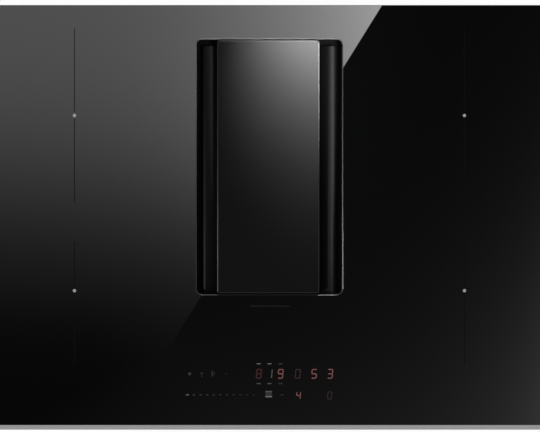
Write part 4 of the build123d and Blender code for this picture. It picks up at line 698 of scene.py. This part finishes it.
def board_finish():
    """Green solder mask with darker copper runs and pale pads."""
    material, tree, shader, place = blank("circuit_board")
    runs = put(tree, "ShaderNodeTexBrick", {
        "Vector": place, "Color1": (0.012, 0.09, 0.04, 1), "Color2": (0.016, 0.11, 0.05, 1),
        "Mortar": (0.03, 0.2, 0.09, 1), "Scale": 40.0, "Mortar Size": 0.03, "Brick Width": 0.9,
        "Row Height": 0.16,
    })
    pads = put(tree, "ShaderNodeTexVoronoi", {"Vector": place, "Scale": 260.0, "Randomness": 0.5})
    pad_reach = 0.12  # against the size of a cell
    pad = maths(tree, "LESS_THAN", pads.outputs["Distance"], pad_reach)
    colour = blend(tree, pad, runs.outputs["Color"], (0.5, 0.5, 0.47, 1))
    rough = maths(tree, "MULTIPLY_ADD", runs.outputs["Fac"], 0.15, 0.32)
    feed(tree, shader, colour, rough, runs.outputs["Fac"])
    return material


class COOKTOP_OT_coils(Operator):
    """Finish the coils, their carriers and sensors"""

    bl_idname = "cooktop.coils"
    bl_label = "Coils"

    def execute(self, context):
        copper = drawn_metal("copper_wire", (0.62, 0.25, 0.1), 0.34, (900, 900, 90), 0.35, 0.4)
        dress(names_of("coil_winding") + ["mains_chokes"], copper)
        aluminium = drawn_metal("aluminium", (0.72, 0.73, 0.74), 0.36, (30, 700, 700), dust=0.08)
        dress(names_of("coil_carrier") + names_of("heat_sink") + ["motor_flange"], aluminium)
        dress(["ferrite_bars"], moulded("ferrite", (0.03, 0.03, 0.033), 0.5, 500.0, pits=0.3))
        dress(["insulation_sheets"],
              moulded("insulation_fleece", (0.72, 0.7, 0.64), 0.95, 700.0, pits=0.9, tone=0.2))
        dress(["temperature_sensors", "control_bracket", "terminal_block"],
              moulded("white_plastic", (0.66, 0.66, 0.63), 0.45))
        return {"FINISHED"}


class COOKTOP_OT_electronics(Operator):
    """Finish the boards, their components and fans"""

    bl_idname = "cooktop.electronics"
    bl_label = "Electronics"

    def execute(self, context):
        dress(names_of("power_board") + ["filter_board", "control_board"], board_finish())
        dress(names_of("power_components"), moulded("capacitor_plastic", (0.03, 0.06, 0.2), 0.35))
        black = moulded("black_components", (0.018, 0.018, 0.018), 0.42)
        dress(names_of("cooling_fan") + ["display_modules", "impeller"], black)
        return {"FINISHED"}


class COOKTOP_OT_air_box(Operator):
    """Finish the air box, the blower and the outlet"""

    bl_idname = "cooktop.air_box"
    bl_label = "Air box, blower and outlet"

    def execute(self, context):
        dress(["lower_casing", "terminal_cover"],
              moulded("casing_plastic", (0.032, 0.032, 0.034), 0.5, 1100.0, pits=0.35, dust=0.06))
        dress(["scroll_housing", "scroll_cover", "inlet_ring", "duct_flap", "cable_gland"],
              moulded("grey_plastic", (0.16, 0.165, 0.17), 0.45, 900.0))
        dress(["outlet_spigot"], moulded("light_grey_plastic", (0.4, 0.41, 0.42), 0.45, 900.0))
        dress(["motor_rotor"], drawn_metal("can_steel", (0.5, 0.5, 0.5), 0.3, (400, 400, 30)))
        dress(["motor_stator"], drawn_metal("laminated_steel", (0.3, 0.27, 0.24), 0.45, (20, 20, 1500), 0.3))
        return {"FINISHED"}


# ---- Studio


def only(name, nodes, state="INCLUDE"):
    """A collection for light linking that lights only these nodes, or all but these."""
    linked = bpy.data.collections.new(name)
    for node in nodes:
        linked.objects.link(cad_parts[node])
    for entry in linked.collection_objects:
        entry.light_linking.link_state = state
    return linked


def soft_box(name, place, target, size, power, spread=180.0):
    """A rectangular area lamp that looks at a point, with its width along X."""
    lamp = bpy.data.lights.new(name, "AREA")
    lamp.shape = "RECTANGLE"
    lamp.size, lamp.size_y = size
    lamp.energy = power
    lamp.spread = math.radians(spread)
    made = bpy.data.objects.new(name, lamp)
    bpy.context.scene.collection.objects.link(made)
    made.location = place
    back = (Vector(place) - Vector(target)).normalized()
    across = (Vector((1, 0, 0)) - back * back.x).normalized()
    turn = Matrix((across, back.cross(across), back)).transposed()
    made.rotation_mode = "QUATERNION"
    made.rotation_quaternion = turn.to_quaternion()
    made.visible_camera = False
    return made


def plane(name, size, z):
    """A square sheet for the studio, centred on the object."""
    bm = bmesh.new()
    bmesh.ops.create_grid(bm, x_segments=1, y_segments=1, size=size / 2, matrix=Matrix.Translation((0, 0, z)))
    mesh = bpy.data.meshes.new(name)
    bm.to_mesh(mesh)
    bm.free()
    made = bpy.data.objects.new(name, mesh)
    bpy.context.scene.collection.objects.link(made)
    return made


def seen_directly(tree):
    """1 on rays from the camera, mirrors or glass, and 0 on the rest."""
    path = tree.nodes.new("ShaderNodeLightPath")
    mirror = maths(tree, "MAXIMUM", path.outputs["Is Camera Ray"], path.outputs["Is Glossy Ray"])
    return maths(tree, "MAXIMUM", mirror, path.outputs["Is Transmission Ray"])


def floor_finish(colour):
    """A pale floor, near white to the camera, that keeps a soft shadow and is clear from below."""
    material, tree, shader, _ = blank("pale_floor")
    shader.inputs["Base Color"].default_value = rgba(colour)
    shader.inputs["Roughness"].default_value = 0.9
    shader.inputs["Specular IOR Level"].default_value = 0.0
    glow = put(tree, "ShaderNodeEmission", {"Color": (1, 1, 1, 1), "Strength": 1.0})
    glow_share = 0.93
    share = maths(tree, "MULTIPLY", seen_directly(tree), glow_share)
    mixed = put(tree, "ShaderNodeMixShader", {0: share, 1: shader.outputs[0], 2: glow.outputs[0]})
    from_below = put(tree, "ShaderNodeNewGeometry").outputs["Backfacing"]
    clear = put(tree, "ShaderNodeBsdfTransparent")
    one_sided = put(tree, "ShaderNodeMixShader", {0: from_below, 1: mixed.outputs[0], 2: clear.outputs[0]})
    tree.links.new(one_sided.outputs[0], tree.nodes["Material Output"].inputs["Surface"])
    return material


# What the glass mirrors, in metres on the glass and in light that it sends to the camera.
GLASS_REFLECTANCE = 0.04  # of polished glass, seen from straight above
EDGE_X, EDGE_Y, EDGE_SLOPE = 0.1379, 0.26, 1.6077  # a point of the slanting edge, and its slope
EDGE_HALF_WIDTH = 0.0004  # where it is sharp
EDGE_MELTS_FROM, EDGE_MELT = -0.15, 1.3  # where it starts to widen to the front, and how fast
RISE_TOP, RISE_MIDDLE, RISE_LENGTH, RISE_TILT = 0.0795, 0.0543, 0.0628, 0.0768  # from front to rear
ACROSS_FROM, ACROSS_TO, ACROSS_TOP = -0.356, 0.148, 1.15  # from left to right
ACROSS_POWER, ACROSS_GAIN = 3.45, 2.149
LEFT_FROM, LEFT_TO, LEFT_LEAST = -0.22, -0.12, 0.45  # what the front left keeps of the rise
FRONT_FROM, FRONT_TO = -0.16, -0.085
BRIGHT_LEAST, DARK_LEAST = 0.0015, 0.0021
CORNER_X, CORNER_LENGTH_X, CORNER_POWER_X = 0.33, 0.0716, 0.804  # the glow in the front right corner
CORNER_Y, CORNER_LENGTH_Y, CORNER_POWER_Y = -0.265, 0.2168, 1.442
CORNER_LIGHT, FRONT_LIGHT, FRONT_LENGTH = 0.026, 0.0036, 0.0974
BEYOND_X, BEYOND_Y, BEYOND_LIGHT = (0.42, 0.7), (0.3, 0.6), 0.3  # past what the camera sees mirrored


def card_finish(centre, magnify):
    """A ceiling card for reflections: a bright soft side, a slanting edge and a dark side."""
    material, tree, _, place = blank("reflection_card")
    axes = put(tree, "ShaderNodeSeparateXYZ", {0: place})

    def on_glass(axis, middle):
        """The place on the glass where a point of the card is mirrored to the camera."""
        from_middle = maths(tree, "SUBTRACT", axes.outputs[axis], middle)
        return maths(tree, "ADD", maths(tree, "DIVIDE", from_middle, magnify), middle)

    def fade(value, start, length):
        """exp(-(value - start) / length)."""
        away = maths(tree, "SUBTRACT", value, start)
        return maths(tree, "EXPONENT", maths(tree, "DIVIDE", away, -length))

    def distance(value, start, length, power):
        """(|value - start| / length) ** power."""
        away = maths(tree, "ABSOLUTE", maths(tree, "SUBTRACT", value, start))
        return maths(tree, "POWER", maths(tree, "DIVIDE", away, length), power)

    x = on_glass("X", centre.x)
    y = on_glass("Y", centre.y)

    # The edge is sharp at the rear and melts away in front of the air opening.
    along_edge = maths(tree, "DIVIDE", maths(tree, "SUBTRACT", y, EDGE_Y), EDGE_SLOPE)
    past_edge = maths(tree, "SUBTRACT", x, maths(tree, "ADD", along_edge, EDGE_X))
    towards_front = maths(tree, "MAXIMUM", maths(tree, "SUBTRACT", EDGE_MELTS_FROM, y), 0.0)
    half_width = maths(tree, "MULTIPLY_ADD", towards_front, EDGE_MELT, EDGE_HALF_WIDTH)
    side = ramp(tree, past_edge, maths(tree, "MULTIPLY", half_width, -1.0), half_width, 1.0, 0.0)

    # The bright side rises smoothly from front to rear, and more strongly towards the right.
    tilted = maths(tree, "MULTIPLY_ADD", x, RISE_TILT, y)
    rise = maths(tree, "DIVIDE", RISE_TOP, maths(tree, "ADD", fade(tilted, RISE_MIDDLE, RISE_LENGTH), 1.0))
    front_left = ramp(tree, x, LEFT_FROM, LEFT_TO, LEFT_LEAST)
    rise = maths(tree, "MULTIPLY", rise, ramp(tree, y, FRONT_FROM, FRONT_TO, front_left))
    across = ramp(tree, x, ACROSS_FROM, ACROSS_TO, 0.0, ACROSS_TOP)
    gain = maths(tree, "MULTIPLY_ADD", maths(tree, "POWER", across, ACROSS_POWER), ACROSS_GAIN, 1.0)
    bright = maths(tree, "MULTIPLY", maths(tree, "MULTIPLY_ADD", rise, gain, BRIGHT_LEAST), side)

    # The dark side has a glow in its front right corner, and a faint one along the front.
    to_corner = maths(tree, "ADD", distance(x, CORNER_X, CORNER_LENGTH_X, CORNER_POWER_X),
                      distance(y, CORNER_Y, CORNER_LENGTH_Y, CORNER_POWER_Y))
    corner = maths(tree, "MULTIPLY", fade(to_corner, 0.0, 1.0), CORNER_LIGHT)
    front = maths(tree, "MULTIPLY", fade(y, CORNER_Y, FRONT_LENGTH), FRONT_LIGHT)
    dark = maths(tree, "ADD", maths(tree, "ADD", corner, front), DARK_LEAST)
    dark_side = maths(tree, "MULTIPLY", dark, maths(tree, "SUBTRACT", 1.0, side))
    total = maths(tree, "DIVIDE", maths(tree, "ADD", bright, dark_side), GLASS_REFLECTANCE)

    # Beyond what the glass mirrors from above, the card is an even grey.
    beyond = maths(tree, "MAXIMUM", ramp(tree, maths(tree, "ABSOLUTE", x), *BEYOND_X),
                   ramp(tree, maths(tree, "ABSOLUTE", y), *BEYOND_Y))
    strength = mix(tree, beyond, total, BEYOND_LIGHT)
    light = put(tree, "ShaderNodeEmission", {"Color": (1, 1, 1, 1), "Strength": strength})
    tree.links.new(light.outputs[0], tree.nodes["Material Output"].inputs["Surface"])
    return material


# Lamps for the whole object: name, place, size and power.
ROOM_LAMPS = (
    ("key_lamp", (-1.9, 1.3, 1.9), (1.3, 1.3), 34),
    ("fill_lamp", (1.9, -1.6, 1.5), (1.3, 1.3), 20),
    ("front_lamp", (-0.6, -2.5, 0.9), (1.2, 1.2), 16),
    ("rear_lamp", (0.7, 2.5, 0.9), (1.2, 1.2), 14),
)

# Narrow lamps, each for one black face: name, the node that it lights, place and the point that it
# looks at, both with heights over the glass, size, power and spread.
NARROW_LAMPS = (
    ("cover_lamp", "vent_cover",
     (0.049, 0.467, 0.513), (0.1618, 0.0179, -0.487), (0.03, 0.218), 0.5, 33.6),
    ("cover_right_lamp", "vent_cover",
     (1.2, 0.35, 0.075), (0.061, 0.2, 0), (0.05, 0.1), 0.065, 14),
    ("cover_left_lamp", "vent_cover",
     (-1.2, -0.1, 0.075), (-0.064, -0.03, 0), (0.05, 0.1), 0.015, 20),
    ("cover_rear_lamp", "vent_cover",
     (0.1, 1.3, 0.08), (0.055, 0.217, 0), (0.1, 0.05), 0.08, 14),
    ("right_crest_lamp", "vent_bowl",
     (0.0777, 0.1485, 0.5), (0.0915, 0.0717, 0), (0.0252, 0.3628), 0.009, 18.2),
    ("left_edge_lamp", "vent_bowl",
     (-0.5224, -0.3244, 0.5), (0.1363, 0.124, 0), (0.02, 0.05), 0.3, 33.4),
    ("left_ramp_lamp", "vent_bowl",
     (0.3324, 0.0241, 0.5), (0.1233, 0.2652, 0), (0.2614, 0.2327), 0.465, 33.4),
    ("right_rim_lamp", "ceramic_glass",
     (-1.2, -0.08, 0.075), (0.089, -0.06, 0), (0.05, 0.2), 0.18, 48.5),
    ("rear_rim_lamp", "ceramic_glass",
     (0.05, -0.7, 0.55), (0.03, 0.218, 0), (0.1, 0.1), 0.6, 20),
    ("left_rim_lamp", "ceramic_glass",
     (1.2, 0.45, 0.075), (-0.089, 0.15, 0), (0.05, 0.1), 0.012, 14),
    ("front_rim_lamp", "ceramic_glass",
     (0.1, 1.5, 0.09), (0.04, -0.094, 0), (0.1, 0.05), 0.035, 24),
)
BLACK_FACES = ("vent_cover", "vent_bowl", "ceramic_glass")
IN_OPENING = ("vent_cover", "vent_bowl", "filter_frame", "filter_mesh", "filter_grip", "drip_tray")
ROOM_MIDDLE = (0, 0, 0.12)


class COOKTOP_OT_stage(Operator):
    """Set up the camera, floor, reflection card, lamps and world"""

    bl_idname = "cooktop.stage"
    bl_label = "Studio"

    def execute(self, context):
        studio = context.scene.cooktop_studio
        camera = bpy.data.cameras.new("camera")
        camera.lens = studio.lens
        camera.sensor_width = 36
        eye = bpy.data.objects.new("camera", camera)
        context.scene.collection.objects.link(eye)
        eye.location = PHOTO_MIDDLE + Vector((0, 0, GLASS_TOP + studio.camera_rise))
        context.scene.camera = eye

        floor_size, floor_z, card_size = 12.0, -0.2 * MM, 20.0
        floor = plane("floor", floor_size, floor_z)
        floor.data.materials.append(floor_finish(studio.floor_colour))

        card = plane("reflection_card", card_size, GLASS_TOP + studio.card_rise)
        magnify = 1 + studio.card_rise / studio.camera_rise
        card.data.materials.append(card_finish(PHOTO_MIDDLE, magnify))
        card.visible_camera = False
        card.visible_diffuse = False
        card.visible_transmission = False
        card.visible_volume_scatter = False
        card.visible_shadow = False
        card.light_linking.receiver_collection = only("all_but_opening", IN_OPENING, "EXCLUDE")

        room = only("all_but_black_faces", BLACK_FACES, "EXCLUDE")
        for name, place, size, power in ROOM_LAMPS:
            lamp = soft_box(name, place, ROOM_MIDDLE, size, power)
            lamp.light_linking.receiver_collection = room

        lift = Vector((0, 0, GLASS_TOP))
        receivers = {node: only(f"{node}_only", (node,)) for node in BLACK_FACES}
        for name, node, place, target, size, power, spread in NARROW_LAMPS:
            lamp = soft_box(name, Vector(place) + lift, Vector(target) + lift, size, power, spread)
            lamp.light_linking.receiver_collection = receivers[node]

        world = bpy.data.worlds.new("studio_world")
        context.scene.world = world
        world.use_nodes = True
        tree = world.node_tree
        room_light = 0.5  # of the world, against the white that the camera and mirrors see
        strength = ramp(tree, seen_directly(tree), 0.0, 1.0, room_light, 1.0)
        background = tree.nodes["Background"]
        background.inputs["Color"].default_value = (1, 1, 1, 1)
        tree.links.new(strength, background.inputs["Strength"])
        context.scene.view_settings.view_transform = "Standard"
        return {"FINISHED"}


# ---- Sidebar and registration

GROUPS = (
    ("cooktop_finish", CooktopFinish),
    ("cooktop_print", CooktopPrint),
    ("cooktop_display", CooktopDisplay),
    ("cooktop_studio", CooktopStudio),
)
OPERATORS = (
    COOKTOP_OT_stage,
    COOKTOP_OT_glass,
    COOKTOP_OT_zone_marks,
    COOKTOP_OT_panel_marks,
    COOKTOP_OT_digits,
    COOKTOP_OT_cover,
    COOKTOP_OT_lift_outs,
    COOKTOP_OT_hob_tray,
    COOKTOP_OT_coils,
    COOKTOP_OT_electronics,
    COOKTOP_OT_air_box,
)


class COOKTOP_PT_sidebar(Panel):
    bl_label = "Cooktop"
    bl_idname = "COOKTOP_PT_sidebar"
    bl_space_type = "VIEW_3D"
    bl_region_type = "UI"
    bl_category = "Cooktop"

    def draw(self, context):
        for name, group in GROUPS:
            box = self.layout.box()
            for label in group.__annotations__:
                box.prop(getattr(context.scene, name), label)
        for operator in OPERATORS:
            self.layout.operator(operator.bl_idname)


def register():
    for name, group in GROUPS:
        bpy.utils.register_class(group)
        setattr(bpy.types.Scene, name, PointerProperty(type=group))
    for operator in OPERATORS:
        bpy.utils.register_class(operator)
    bpy.utils.register_class(COOKTOP_PT_sidebar)


def unregister():
    bpy.utils.unregister_class(COOKTOP_PT_sidebar)
    for operator in reversed(OPERATORS):
        bpy.utils.unregister_class(operator)
    for name, group in reversed(GROUPS):
        delattr(bpy.types.Scene, name)
        bpy.utils.unregister_class(group)


def main():
    register()
    bpy.ops.cooktop.stage()
    bpy.ops.cooktop.glass()
    bpy.ops.cooktop.zone_marks()
    bpy.ops.cooktop.panel_marks()
    bpy.ops.cooktop.digits()
    bpy.ops.cooktop.cover()
    bpy.ops.cooktop.lift_outs()
    bpy.ops.cooktop.hob_tray()
    bpy.ops.cooktop.coils()
    bpy.ops.cooktop.electronics()
    bpy.ops.cooktop.air_box()


if __name__ == "__main__":
    main()
